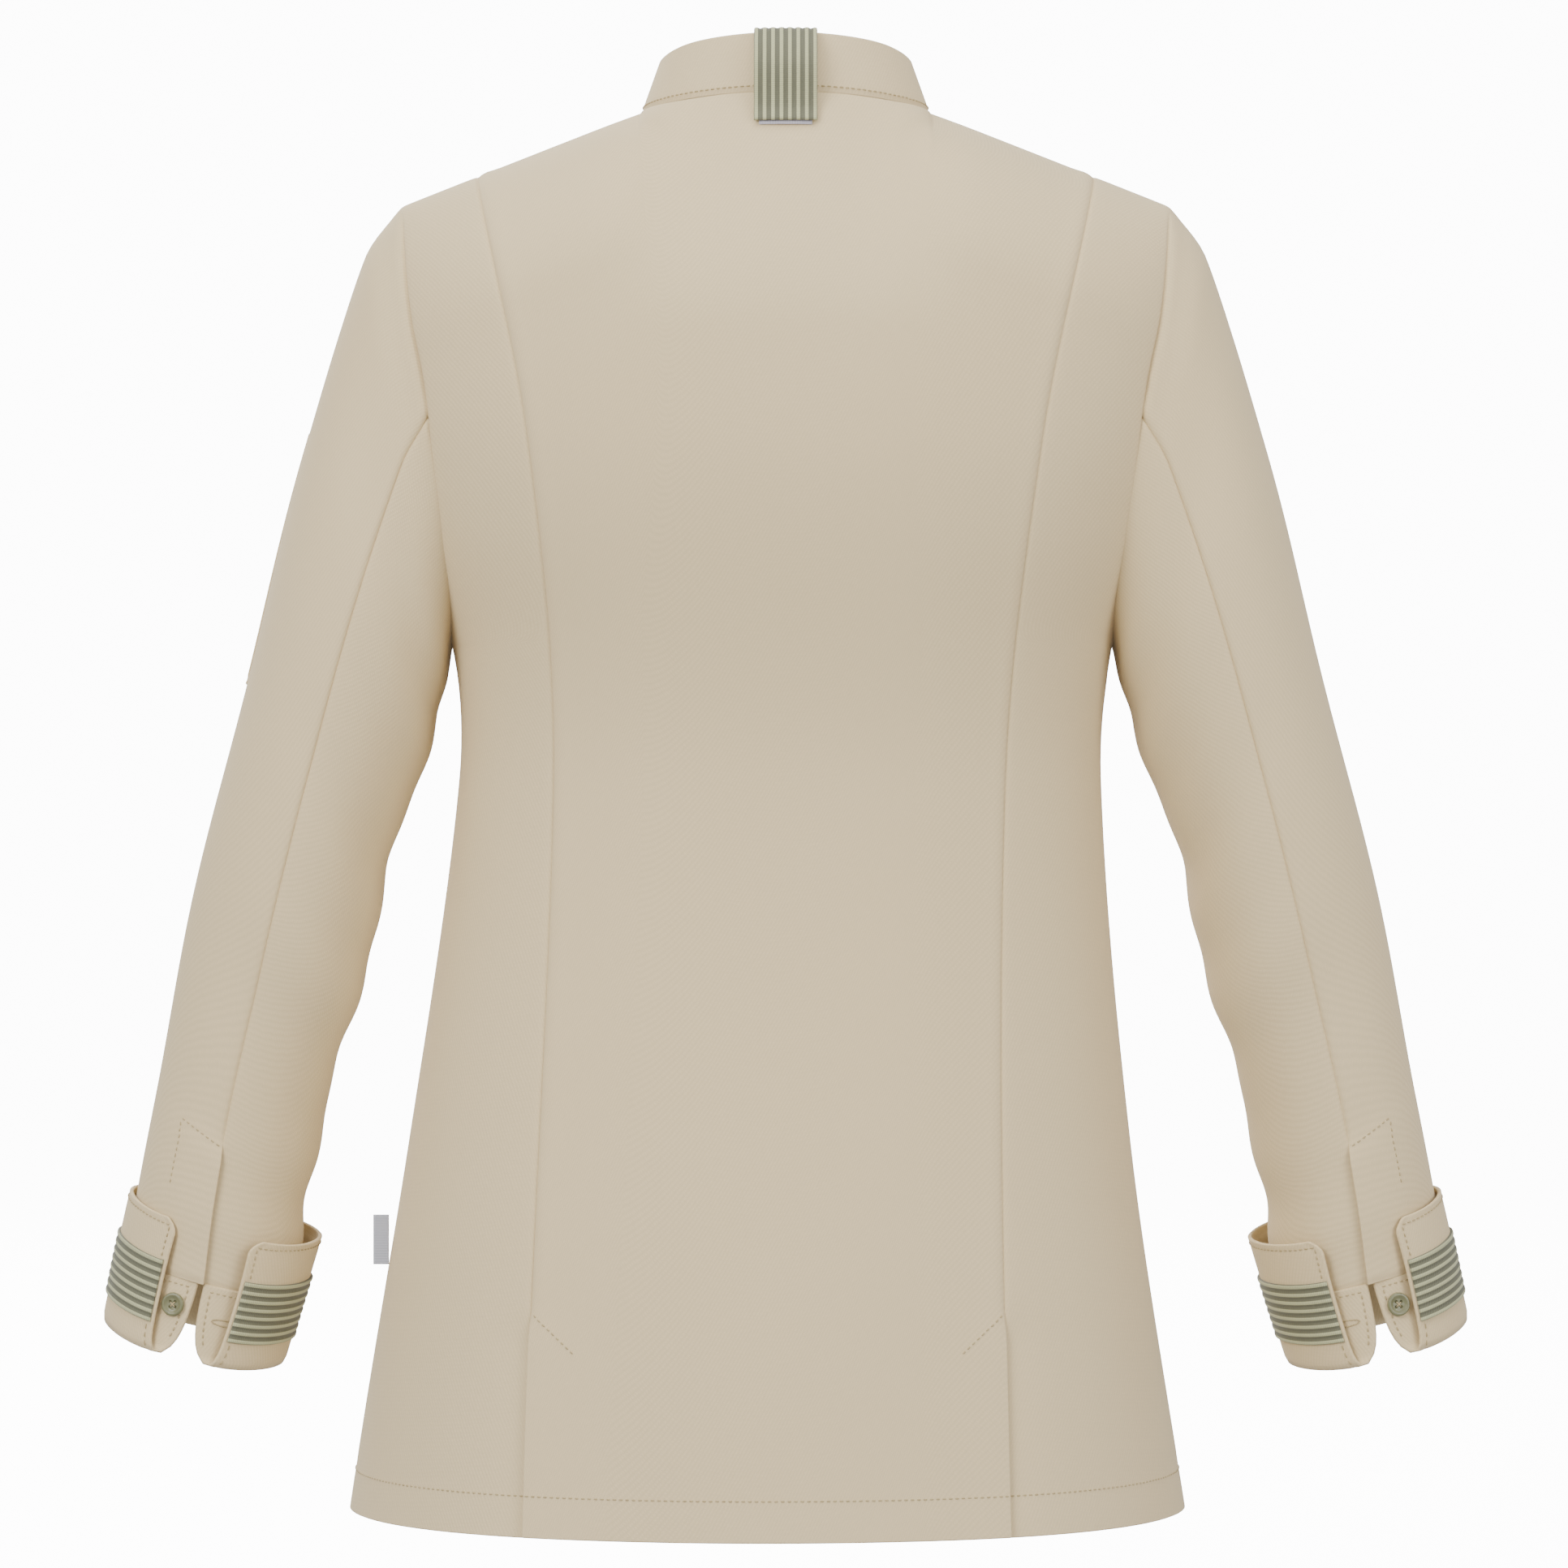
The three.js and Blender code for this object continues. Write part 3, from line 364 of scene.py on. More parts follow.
def outward(grid, centre):
    """The direction out of the cloth at each point of the grid, away from centre."""
    out = np.cross(np.gradient(grid, axis=1), np.gradient(grid, axis=0))
    out /= np.maximum(np.linalg.norm(out, axis=-1, keepdims=True), 1e-9)
    if ((grid - np.asarray(centre)) * out).sum() < 0:
        out = -out
    return out


def run_length(grid, axis):
    """How far each point is along its row or column, in mm."""
    step = np.linalg.norm(np.diff(grid, axis=axis), axis=-1)
    start = np.zeros_like(np.take(step, [0], axis=axis))
    return np.concatenate([start, np.cumsum(step, axis=axis)], axis=axis)


def edge_distance(grid):
    """Distance of each point from the grid's first row, last row, first column and last column."""
    down, across = run_length(grid, 0), run_length(grid, 1)
    return down, down[-1:] - down, across, across[:, -1:] - across


def sewn(distance, raised=False):
    """A seam's dip. Where its allowances are pressed under, the cloth stands a little proud beside it."""
    dip = 0.85 * np.exp(-((distance / 0.8) ** 2)) + 0.3 * np.exp(-((distance / 2.8) ** 2))
    return dip - (0.5 * np.exp(-(((distance - 5.0) / 3.5) ** 2)) if raised else 0)


HEM_DEPTH = 20.0
HEM_STITCH = 19.0


def head_and_hem(from_head, from_hem):
    """The dips at a panel's upper seam and along its hem stitching."""
    return 0.5 * np.exp(-((from_head / 2.4) ** 2)) + 0.35 * np.exp(-(((from_hem - HEM_STITCH) / 1.3) ** 2))


def drape(points):
    """The slight unevenness of worn and pressed cloth, in mm along its outward direction."""
    x, y, z = points[..., 0], points[..., 1], points[..., 2]
    fall = smooth((-z - 60) / 200)
    folds = 0.9 * np.sin(x / 31 + z / 160 + 0.6 * np.sin(z / 90)) + 0.6 * np.sin(x / 17 - z / 120 + 1.3)
    wide = 1.1 * np.sin(z / 75 + x / 130 + 0.4) + 0.6 * np.sin(y / 22 + z / 60)
    hem = 1.2 * smooth((-z - 420) / 250) * np.sin(x / 23 + 0.8)
    return fall * (0.55 * folds + 0.55 * wide + hem)


def flat_map(grid):
    """The cloth's own flat coordinates: across from the middle of each row, and down its grain."""
    across, down = run_length(grid, 1), run_length(grid, 0)
    return np.stack([across - across[:, -1:] / 2, -down], -1)


def cloth(name, outer, inner, material, bulge=0.25, flat=None):
    """A closed piece of cloth between two grids, with a slightly rounded rim."""
    rows, cols = outer.shape[:2]
    at = np.arange(rows * cols).reshape(rows, cols)
    under = at + rows * cols
    rim = np.concatenate([at[0], at[1:, -1], at[-1, -2::-1], at[-2:0:-1, 0]])
    inside = np.concatenate([at[1], at[1:, -2], at[-2, -2::-1], at[-2:0:-1, 1]])
    flat_outer, flat_inner = outer.reshape(-1, 3), inner.reshape(-1, 3)
    middle = (flat_outer[rim] + flat_inner[rim]) / 2
    away = flat_outer[rim] - flat_outer[inside]
    away /= np.maximum(np.linalg.norm(away, axis=1, keepdims=True), 1e-9)
    points = np.concatenate([flat_outer, flat_inner, middle + away * bulge])
    edge = np.arange(len(rim)) + 2 * rows * cols
    a, b = at[:-1, :-1].ravel(), at[:-1, 1:].ravel()
    c, d = at[1:, 1:].ravel(), at[1:, :-1].ravel()
    top = np.stack([a, b, c, d], 1)
    bottom = np.stack([a, d, c, b], 1) + rows * cols
    following = np.roll(np.arange(len(rim)), -1)
    upper = np.stack([rim, edge, edge[following], rim[following]], 1)
    lower = np.stack([edge, under.ravel()[rim], under.ravel()[rim[following]], edge[following]], 1)
    faces = np.concatenate([top, bottom, upper, lower])
    flat = (flat_map(outer) if flat is None else flat).reshape(-1, 2)
    corner = points[top]
    if (np.cross(corner[:, 1] - corner[:, 0], corner[:, 3] - corner[:, 0])
            * (flat_outer[top[:, 0]] - flat_inner[top[:, 0]])).sum() < 0:
        faces = faces[:, ::-1]
    return mesh_object(name, points, faces, material, np.concatenate([flat, flat, flat[rim]]))


def panel(name, grid, sink, thickness, material, centre, depth=0.0, folds=True):
    """A sewn panel: its face follows the form, folds a little and dips into its seams."""
    out = outward(grid, centre)
    moved = -sink - depth + (drape(grid) if folds else 0)
    face = grid + out * np.asarray(moved)[..., None]
    return cloth(name, face, face - out * np.asarray(thickness)[..., None], material), face, out


STITCH_PITCH = 3.0


def stitches(name, runs, material=None, pitch=STITCH_PITCH, share=0.7, radius=0.36):
    """Rows of lockstitch, each stitch a short thread pulled in at its ends.

    Each run is its points and their outward directions.
    """
    across = 6
    profile = [(0.0, 0.35, -0.3), (0.18, 0.9, 0.05), (0.5, 1.0, 0.16), (0.82, 0.9, 0.05), (1.0, 0.35, -0.3)]
    points, faces = [], []
    for line, out in runs:
        along = run_length(line, 0)
        count = max(1, int(along[-1] / pitch))
        starts = (np.arange(count) + 0.5 * (1 - share)) * along[-1] / count
        length = share * along[-1] / count
        for start in starts:
            base = len(points)
            for step, girth, lift in profile:
                spot = start + step * length
                p = np.array([np.interp(spot, along, line[:, i]) for i in range(3)])
                q = np.array([np.interp(spot + 0.5, along, line[:, i]) for i in range(3)])
                r = np.array([np.interp(spot - 0.5, along, line[:, i]) for i in range(3)])
                n = np.array([np.interp(spot, along, out[:, i]) for i in range(3)])
                n /= np.linalg.norm(n)
                side = np.cross(q - r, n)
                side /= max(np.linalg.norm(side), 1e-9)
                for k in range(across):
                    turn = 2 * pi * k / across
                    offset = side * cos(turn) + n * sin(turn) * 0.7
                    points.append(p + n * lift + offset * radius * girth)
            for j in range(len(profile) - 1):
                for k in range(across):
                    a, b = base + j * across + k, base + j * across + (k + 1) % across
                    faces.append((a, b, b + across, a + across))
            faces.append(tuple(range(base + across - 1, base - 1, -1)))
            faces.append(tuple(range(base + 4 * across, base + 5 * across)))
    return mesh_object(name, points, faces, material or thread)


def line_on(grid, out, u, v, lift=0.05):
    """Points of a panel's face at these fractional columns and rows, with their outward directions."""
    u, v = np.broadcast_arrays(np.asarray(u, float), np.asarray(v, float))
    j = np.clip(v.astype(int), 0, grid.shape[0] - 2)
    i = np.clip(u.astype(int), 0, grid.shape[1] - 2)
    fv, fu = (v - j)[:, None], (u - i)[:, None]

    def at(table):
        upper = mix(table[j, i], table[j, i + 1], fu)
        return mix(upper, mix(table[j + 1, i], table[j + 1, i + 1], fu), fv)

    direction = at(out)
    return at(grid) + direction * lift, direction


def side_line(face, out, inset, rows, last=True):
    """The stitch line this far inside a panel's last column, or its first, at these fractional rows."""
    sign = -1 if last else 1
    near = sign * edge_distance(face)[3 if last else 2][rows.astype(int)]
    wanted = sign * np.broadcast_to(inset, rows.shape)
    cols = [np.interp(w, d, np.arange(len(d))) for w, d in zip(wanted, near)]
    return line_on(face, out, np.array(cols), rows)


def hem_line(face, out, height, u_from=0.0, u_to=1.0):
    """The stitch line that runs this far above a panel's lower edge."""
    rise = edge_distance(face)[1]
    cols = face.shape[1] - 1
    u = np.linspace(u_from * cols, u_to * cols, 60)
    v = []
    for x in u:
        i = min(int(x), cols - 1)
        column = mix(rise[:, i], rise[:, i + 1], x - i)
        v.append(np.interp(height, column[::-1], np.arange(len(column))[::-1]))
    return line_on(face, out, u, np.array(v))


def hem_thickness(grid, plain=CLOTH, depth=HEM_DEPTH):
    """The cloth is turned up at the hem, so it is twice as thick there."""
    return plain + 1.0 * smooth((depth - edge_distance(grid)[1]) / 3.0)


CREST_Z = float(top_line(1, 149.0)[1])
back_half = through((CREST_Z, 149), (-166.15, 121), (-327, 107), (-678, 113))
back_u, back_v = lines(270, 4.6), lines(670, 5.0)
col = 12 * back_u
top_x = np.interp(np.minimum(col, 12 - col), [0, 2], [149, NECK_HALF])
top_turn = np.radians(90 - 90 * (col - 2) / 4)
on_ring = (col > 2) & (col < 10)
crest_angle, crest_z = crest(top_x)
ring_angle, ring_z = ring(1, np.clip(top_turn, -pi / 2, pi / 2))
mirrored = np.where(col > 6, -1, 1)
back_top = (np.where(on_ring, ring_angle, crest_angle * mirrored), np.where(on_ring, ring_z, crest_z))
hem_x = mix(113, -113, back_u)
back_hem = (angle_at(hem_x, -BACK_LENGTH), np.full_like(hem_x, -BACK_LENGTH))
back_first = seam_edge(CREST_Z, back_half, back_v)
back_last = (-back_first[0], back_first[1])
back_grid = fill(1, back_top, back_hem, back_first, back_last, back_u, back_v)
BACK_HEART = (0, -200, -340)


def vent_free(grid):
    """1 above the vents, 0 along their free edges."""
    return 1 - smooth((VENT_TOP - grid[..., 2]) / 12)


d_top, d_hem, d_first, d_last = edge_distance(back_grid)
seam_share = vent_free(back_grid)
back_sink = head_and_hem(d_top, d_hem)
princess_share = seam_share * (0.1 + 0.9 * smooth(d_top / 14))
back_sink = back_sink + princess_share * (sewn(d_first, True) + sewn(d_last, True))
flare = np.exp(-((d_first / 16) ** 2)) + np.exp(-((d_last / 16) ** 2))
back_sink = back_sink - (1 - seam_share) * flare
back_piece, back_face, back_out = panel(
    "back_centre", back_grid, back_sink, hem_thickness(back_grid), twill, BACK_HEART)
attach(back_piece, "torso")
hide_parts("back_centre_panel")

# The vents are closed at the top by a short slanting row of stitches on each side.
runs = [hem_line(back_face, back_out, HEM_STITCH, 0.006, 0.994)]
face_z = back_face[:, 0, 2]
t = np.linspace(0, 1, 16)
rows = np.interp(-(VENT_TOP - 2 - 19 * t), -face_z, np.arange(len(face_z)))
runs += [side_line(back_face, back_out, 1.5 + 21 * t, rows, last) for last in (False, True)]
back_stitches = stitches("back_stitching", runs)
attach(back_stitches, "torso")

# ---------------------------------------------------------------- back side panels
# A narrow panel on each side between the princess seam and the side seam. Its upper edge takes the
# sleeve, and below the vent it runs on as an underlap behind the centre panel.

ARMHOLE_MIDDLE = -(SHOULDER_DROP + UNDERARM_DROP) / 2
ARMHOLE_HALF = (UNDERARM_DROP - SHOULDER_DROP) / 2
SIDES = ((1, "left"), (-1, "right"))
UNDERLAP = 19.0
UNDERLAP_DEPTH = 3.1


def armhole(face, k):
    """Angle and height of the armhole's edge. k runs from 0 at the shoulder to 10 at the underarm."""
    z = ARMHOLE_MIDDLE + ARMHOLE_HALF * np.cos(pi * k / 10)
    y = (60 if face > 0 else 56) * np.sin(pi * k / 10)
    low, high = np.full_like(z, 0.2), np.full_like(z, pi / 2)
    for _ in range(40):
        middle = (low + high) / 2
        further = np.abs(body_point(face, middle, z)[..., 1]) > y
        low, high = np.where(further, middle, low), np.where(further, high, middle)
    angle = np.where(k <= 0, angle_at(np.full_like(z, SHOULDER_HALF), z), (low + high) / 2)
    return np.where(k >= 10, pi / 2, angle), z


def side_edge(face, v):
    k = 18 * v
    angle, z = armhole(face, np.minimum(k, 10))
    below = k > 10
    return np.where(below, pi / 2, angle), np.where(below, row_height(0, v), z)


def seam_depth(z):
    """How deep the armhole's seam lies at this height: shallow at the shoulder, and flat under the arm."""
    return smooth((z + 190) / 60) * (1 - 0.7 * smooth((z + 64) / 12))


def at_armhole(grid, distance):
    """The dip at the armhole's seam. The folds fade out there, where the sleeve meets the body."""
    z = grid[..., 2]
    beside_sleeve = np.exp(-((distance / 26) ** 2)) * smooth((z + UNDERARM_DROP + 22) / 24)
    below = smooth((-UNDERARM_DROP - 4 - z) / 14)
    return (seam_depth(z) + 0.8 * below) * sewn(distance) + drape(grid) * beside_sleeve


side_u, side_v = lines(80, 4.6), lines(650, 5.0)
for side, word in SIDES:
    top = crest(mix(149, SHOULDER_HALF, side_u))
    first = seam_edge(CREST_Z, back_half, side_v)
    hem = (mix(first[0][-1], pi / 2, side_u), np.full_like(side_u, -BACK_LENGTH))
    last = side_edge(1, side_v)
    top, hem, first, last = [(side * a, z) for a, z in (top, hem, first, last)]
    grid = fill(1, top, hem, first, last, side_u, side_v)
    d_top, d_hem, d_first, d_last = edge_distance(grid)
    above = vent_free(grid)
    sink = head_and_hem(d_top, d_hem)
    above_share = above * (0.1 + 0.9 * smooth(d_top / 14))
    sink = sink + above_share * sewn(d_first) + (1 - above) * 1.5 * np.exp(-((d_first / 12) ** 2))
    sink = sink + at_armhole(grid, d_last)
    piece, face, out = panel(f"back_side_{word}", grid, sink, hem_thickness(grid), twill, (0, -150, -340))
    stitched = stitches(f"back_side_stitching_{word}", [hem_line(face, out, HEM_STITCH, 0.03, 0.97)])
    # The underlap follows the centre panel's face, a cloth's thickness and a gap below it.
    low_rows = np.where(back_grid[:, 0, 2] <= VENT_TOP + 2)[0]
    wide = max(np.interp(UNDERLAP, d, np.arange(len(d))) for d in edge_distance(back_grid)[2])
    picked = np.arange(0, int(wide) + 2)
    picked = picked if side > 0 else back_grid.shape[1] - 1 - picked
    under_out = back_out[np.ix_(low_rows, picked)]
    under_face = back_face[np.ix_(low_rows, picked)] - under_out * UNDERLAP_DEPTH
    underlap = cloth(f"vent_underlap_{word}", under_face, under_face - under_out * CLOTH, twill)
    for made in (piece, stitched, underlap):
        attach(made, "torso")
    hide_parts(f"back_side_panel_{word}")
    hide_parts(f"vent_facing_{word}")

# ---------------------------------------------------------------- front side panels
# The panel on each side of the front between the side seam and the front seam, with the shoulder,
# half the armhole and part of the neckline on its upper edge.

CORNER_X = 52.0
FRONT_HEM_X = 104.0
NECK_CORNER = asin(CORNER_X / NECK_HALF)
FRONT_NECK_Z = float(top_line(-1, CORNER_X)[1])
front_half = through((FRONT_NECK_Z, CORNER_X), (-198.1, 92), (-327, 90), (-BACK_LENGTH, FRONT_HEM_X))


def opens(piece):
    """Bakes the piece's placement into its mesh."""
    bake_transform(piece)


BEHIND_HEART = (0, 150, -340)
front_side_u, front_side_v = lines(190, 4.8), lines(650, 5.0)
for side, word in SIDES:
    col = 6 * front_side_u
    crest_pair = crest(np.interp(col, [0, 4], [SHOULDER_HALF, NECK_HALF]))
    ring_pair = ring(-1, np.interp(col, [4, 6], [pi / 2, NECK_CORNER]))
    top = [np.where(col <= 4, c, r) for c, r in zip(crest_pair, ring_pair)]
    hem_angle = mix(pi / 2, angle_at(FRONT_HEM_X, -BACK_LENGTH), front_side_u)
    hem = (hem_angle, np.full_like(hem_angle, -BACK_LENGTH))
    first = side_edge(-1, front_side_v)
    last = seam_edge(FRONT_NECK_Z, front_half, front_side_v)
    top, hem, first, last = [(side * a, z) for a, z in (top, hem, first, last)]
    grid = fill(-1, top, hem, first, last, front_side_u, front_side_v)
    d_top, d_hem, d_first, d_last = edge_distance(grid)
    sink = head_and_hem(d_top, d_hem) + at_armhole(grid, d_first) + sewn(d_last)
    piece, face, out = panel(
        f"front_side_{word}", grid, sink, hem_thickness(grid), twill, BEHIND_HEART)
    stitched = stitches(f"front_side_stitching_{word}", [hem_line(face, out, HEM_STITCH, 0.02, 0.98)])
    for made in (piece, stitched):
        opens(made)
    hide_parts(f"front_side_panel_{word}")

# ---------------------------------------------------------------- front centre panels and facings
# The two fronts, which lap 40 mm at the centre with the right one outside. Each has a facing turned
# in behind its edge, which stiffens the closure, and two rows of edge stitching.

FRONT_LAP = 20.0
LAP_INSET = 4.6
FACING = 0.9
FACING_GAP = 0.4
EDGE_STITCH = 6.0
LAP_TURN = asin(FRONT_LAP / NECK_HALF)
centre_u, centre_v = lines(125, 4.4), lines(600, 5.0)
front_faces = {}
for side, word in SIDES:
    col = 6 * centre_u
    turns = np.interp(col, [0, 4, 5, 6], [NECK_CORNER, 0, -NECK_CORNER / 4, -LAP_TURN])
    top = ring(-1, turns)
    hem_x = np.interp(col, [0, 4, 6], [FRONT_HEM_X, 0, -FRONT_LAP])
    hem = (angle_at(hem_x, -BACK_LENGTH), np.full_like(hem_x, -BACK_LENGTH))
    first = seam_edge(FRONT_NECK_Z, front_half, centre_v)
    last = seam_edge(float(top[1][-1]), lambda z: np.full_like(z, -FRONT_LAP), centre_v)
    top, hem, first, last = [(side * a, z) for a, z in (top, hem, first, last)]
    grid = fill(-1, top, hem, first, last, centre_u, centre_v)
    out = outward(grid, BEHIND_HEART)
    if side > 0:
        lowered = LAP_INSET * smooth((57.2 - (grid[..., 0] - sideways(grid[..., 2]))) / 26)
        grid = grid - out * lowered[..., None]
    d_top, d_hem, d_first, d_last = edge_distance(grid)
    # Folds fade out towards the stiffened edge, so that the two laps stay clear of each other.
    slack = smooth(d_last / 60)
    sink = 0.3 * np.exp(-((d_top / 2.4) ** 2)) + head_and_hem(d_top, d_hem)
    sink = sink + sewn(d_first, True) - drape(grid) * slack
    sink = sink + 0.25 * np.exp(-(((d_last - EDGE_STITCH) / 1.1) ** 2))
    piece, face, out = panel(
        f"front_{word}", grid, sink, hem_thickness(grid), twill, BEHIND_HEART, folds=False)
    front_faces[side] = (face, out)
    edge_rows = np.linspace(0, grid.shape[0] - 1, 240)
    runs = [hem_line(face, out, HEM_STITCH, 0.02, 0.99), side_line(face, out, EDGE_STITCH, edge_rows)]
    stitched = stitches(f"front_stitching_{word}", runs)
    first_col = int(np.searchsorted(centre_u, 0.5))
    facing_face = (face - out * (CLOTH + 1.0 + FACING_GAP))[1:-1, first_col:-2]
    facing_back = facing_face - out[1:-1, first_col:-2] * FACING
    facing = cloth(f"front_facing_cloth_{word}", facing_face, facing_back, twill_darker_copy)
    for made in (piece, stitched, facing):
        opens(made)
    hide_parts(f"front_centre_panel_{word}")
    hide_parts(f"front_facing_{word}")

# ---------------------------------------------------------------- front press studs
# Six moulded press studs close the fronts: an olive cap with a raised rim on the right front, and a
# pressed metal socket on the left one behind it.


def sideways_of(axis):
    """Two directions square to a unit axis and to each other."""
    first = np.cross(axis, [0, 0, 1.0])
    first /= np.linalg.norm(first)
    return first, np.cross(axis, first)


def turned(name, centre, axis, profile, radius, material, holes=(), rings=16, around=40):
    """A round piece turned about its axis.

    profile gives its height over its radius, and holes are (x, y, size, depth).
    """
    centre, axis = np.asarray(centre, float), np.asarray(axis, float)
    axis = axis / np.linalg.norm(axis)
    first, second = sideways_of(axis)
    points = [centre + axis * height_at(0, 0, profile, radius, holes)]
    turns = [2 * pi * k / around for k in range(around)]
    for share in np.linspace(0, 1, rings + 1)[1:]:
        for turn in turns:
            x, y = radius * share * cos(turn), radius * share * sin(turn)
            points.append(centre + first * x + second * y + axis * height_at(x, y, profile, radius, holes))
    points += [centre + (first * cos(turn) + second * sin(turn)) * 0.97 * radius for turn in turns]
    faces = [(0, 1 + k, 1 + (k + 1) % around) for k in range(around)]
    for j in range(rings):
        for k in range(around):
            a, b = 1 + j * around + k, 1 + j * around + (k + 1) % around
            faces.append((a, a + around, b + around, b))
    last = 1 + rings * around
    faces.append(tuple(range(last + around - 1, last - 1, -1)))
    return mesh_object(name, points, faces, material)


def height_at(x, y, profile, radius, holes):
    share = (x * x + y * y) ** 0.5 / radius
    height = float(np.interp(share, profile[0], profile[1]))
    for hole_x, hole_y, size, depth in holes:
        away = ((x - hole_x) ** 2 + (y - hole_y) ** 2) ** 0.5
        height -= depth * float(np.exp(-((away / size) ** 6)))
    return height


# Moulded polyester, as buttons are: an even olive with a faint cloud in it and a satin surface.
olive, olive_shader = finish_named(
    "olive_polyester_button", Roughness=0.36, Coat_Weight=0.25, Coat_Roughness=0.25)
olive_place = add(olive, "ShaderNodeTexCoord")
olive_cloud = add(olive, "ShaderNodeTexNoise", [("Vector", olive_place, "Object")],
                  in_Scale=260.0, in_Detail=3.0)
olive_mix = add(olive, "ShaderNodeMix", [("Factor", olive_cloud, "Fac")],
                data_type="RGBA", in_A=linear(0x5F5F40), in_B=linear(0x7A7955))
join(olive, olive_mix, "Result", olive_shader, "Base Color")

# Pressed brass with a nickel plate, tumbled: soft grey shine with fine wear.
nickel, nickel_shader = finish_named("nickel_plate", Base_Color=linear(0xB9B6AE), Metallic=1.0)
nickel_place = add(nickel, "ShaderNodeTexCoord")
nickel_wear = add(nickel, "ShaderNodeTexNoise", [("Vector", nickel_place, "Object")],
                  in_Scale=700.0, in_Detail=4.0)
nickel_rough = add(nickel, "ShaderNodeMapRange", [("Value", nickel_wear, "Fac")],
                   in_To_Min=0.25, in_To_Max=0.5)
join(nickel, nickel_rough, "Result", nickel_shader, "Roughness")

CAP_PROFILE = ([0, 0.25, 0.5, 0.68, 0.78, 0.9, 0.97, 1.0], [1.35, 1.3, 1.2, 1.25, 1.75, 1.8, 1.5, 0.5])
SOCKET_PROFILE = ([0, 0.3, 0.42, 0.55, 0.8, 0.92, 1.0], [0.3, 0.3, 0.9, 1.15, 1.0, 0.75, 0.2])
CAP_RADIUS, SOCKET_RADIUS = 5.7, 4.1
for number in range(1, 7):
    for side, name, cad_name, profile, radius, finish, where in (
        (-1, "stud_cap", "front_cap", CAP_PROFILE, CAP_RADIUS, olive, "olive_plastic"),
        (1, "stud_socket", "front_stud", SOCKET_PROFILE, SOCKET_RADIUS, nickel, "stud_metal"),
    ):
        low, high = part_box(f"{cad_name}_{number}")
        middle = (np.array(low) + np.array(high)) / 2 / MM
        face, out = front_faces[side]
        spot = np.unravel_index(np.argmin(np.linalg.norm(face - middle, axis=-1)), face.shape[:2])
        axis = out[spot]
        seat = middle - axis * ((middle - face[spot]) @ axis) + axis * 0.1
        stud = turned(f"{name}_{number}", seat, axis, profile, radius, finish)
        opens(stud)
        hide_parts(f"{cad_name}_{number}")

# ---------------------------------------------------------------- collar
# A stand collar of two layers of twill over a stiffener, sewn round the neckline and stitched along
# its seam. Its front ends meet at the centre and have rounded corners.

COLLAR_HEIGHT = 28.0
COLLAR_THICKNESS = 2.7
COLLAR_CORNER = 11.0


def collar_point(turn, height, depth):
    face_y = np.where(np.cos(turn) > 0, NECK_BACK, NECK_FRONT)
    inward = 10 * height / COLLAR_HEIGHT * (0.55 + 0.45 * np.abs(np.sin(turn))) + depth
    x = (NECK_HALF - inward) * np.sin(turn)
    side_x = NECK_HALF * np.abs(np.sin(turn))
    seam_z = np.where(np.cos(turn) > 0, top_line(1, side_x)[1], top_line(-1, side_x)[1])
    return np.stack([x, (face_y - inward) * np.cos(turn), seam_z + 0.25 + height], -1)


collar_turns = mix(-radians(179.3), radians(179.3), lines(430, 3.0))[None, :]
collar_rows = lines(COLLAR_HEIGHT + 8, 3.0)[:, None]
from_end = (pi - np.abs(collar_turns)) * 66
corner = np.clip(1 - from_end / COLLAR_CORNER, 0, 1)
beside_neck = 3.6 * np.exp(-(((np.abs(collar_turns) - pi / 2) / 0.42) ** 2))
collar_top = COLLAR_HEIGHT - beside_neck - COLLAR_CORNER * 0.8 * (1 - np.sqrt(1 - corner**2))
collar_heights = collar_rows * collar_top
seam_dip = 0.9 * np.exp(-((collar_heights / 1.8) ** 2))
collar_face = collar_point(collar_turns, collar_heights, seam_dip)
collar_back = collar_point(collar_turns, collar_heights, COLLAR_THICKNESS - 0.3 * seam_dip)
collar = cloth("collar", collar_face, collar_back, twill, bulge=0.9)
turns = np.linspace(-radians(176.5), radians(176.5), 260)
line = collar_point(turns, np.full_like(turns, 2.6), np.full_like(turns, -0.05))
out = np.stack([np.sin(turns), np.cos(turns), np.full_like(turns, 0.25)], -1)
collar_stitches = stitches("collar_stitching", [(line, out / np.linalg.norm(out, axis=1, keepdims=True))])
for made in (collar, collar_stitches):
    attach(made, "torso")
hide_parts("collar_outer", "collar_lining")

# ---------------------------------------------------------------- back neck facing and hanger
# A shaped facing covers the neck seam inside the back, with a narrow tape caught in at both ends
# to hang the jacket by.

facing_rows = back_grid[:, :, 2].max(axis=1) > -118
facing_cols = np.abs(back_grid[0, :, 0]) < 68
facing_pick = np.ix_(np.where(facing_rows)[0][1:], np.where(facing_cols)[0])
neck_face = back_face[facing_pick] - back_out[facing_pick] * 1.6
neck_facing = cloth("neck_facing", neck_face, neck_face - back_out[facing_pick] * FACING, twill_darker_copy)
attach(neck_facing, "torso")
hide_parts("back_neck_facing")

# Woven polyester tape in pale lilac grey: a smooth, close plain weave.
lilac, lilac_shader = finish_named("lilac_tape_weave", Roughness=0.7, Sheen_Weight=0.1)
lilac_place = add(lilac, "ShaderNodeTexCoord")
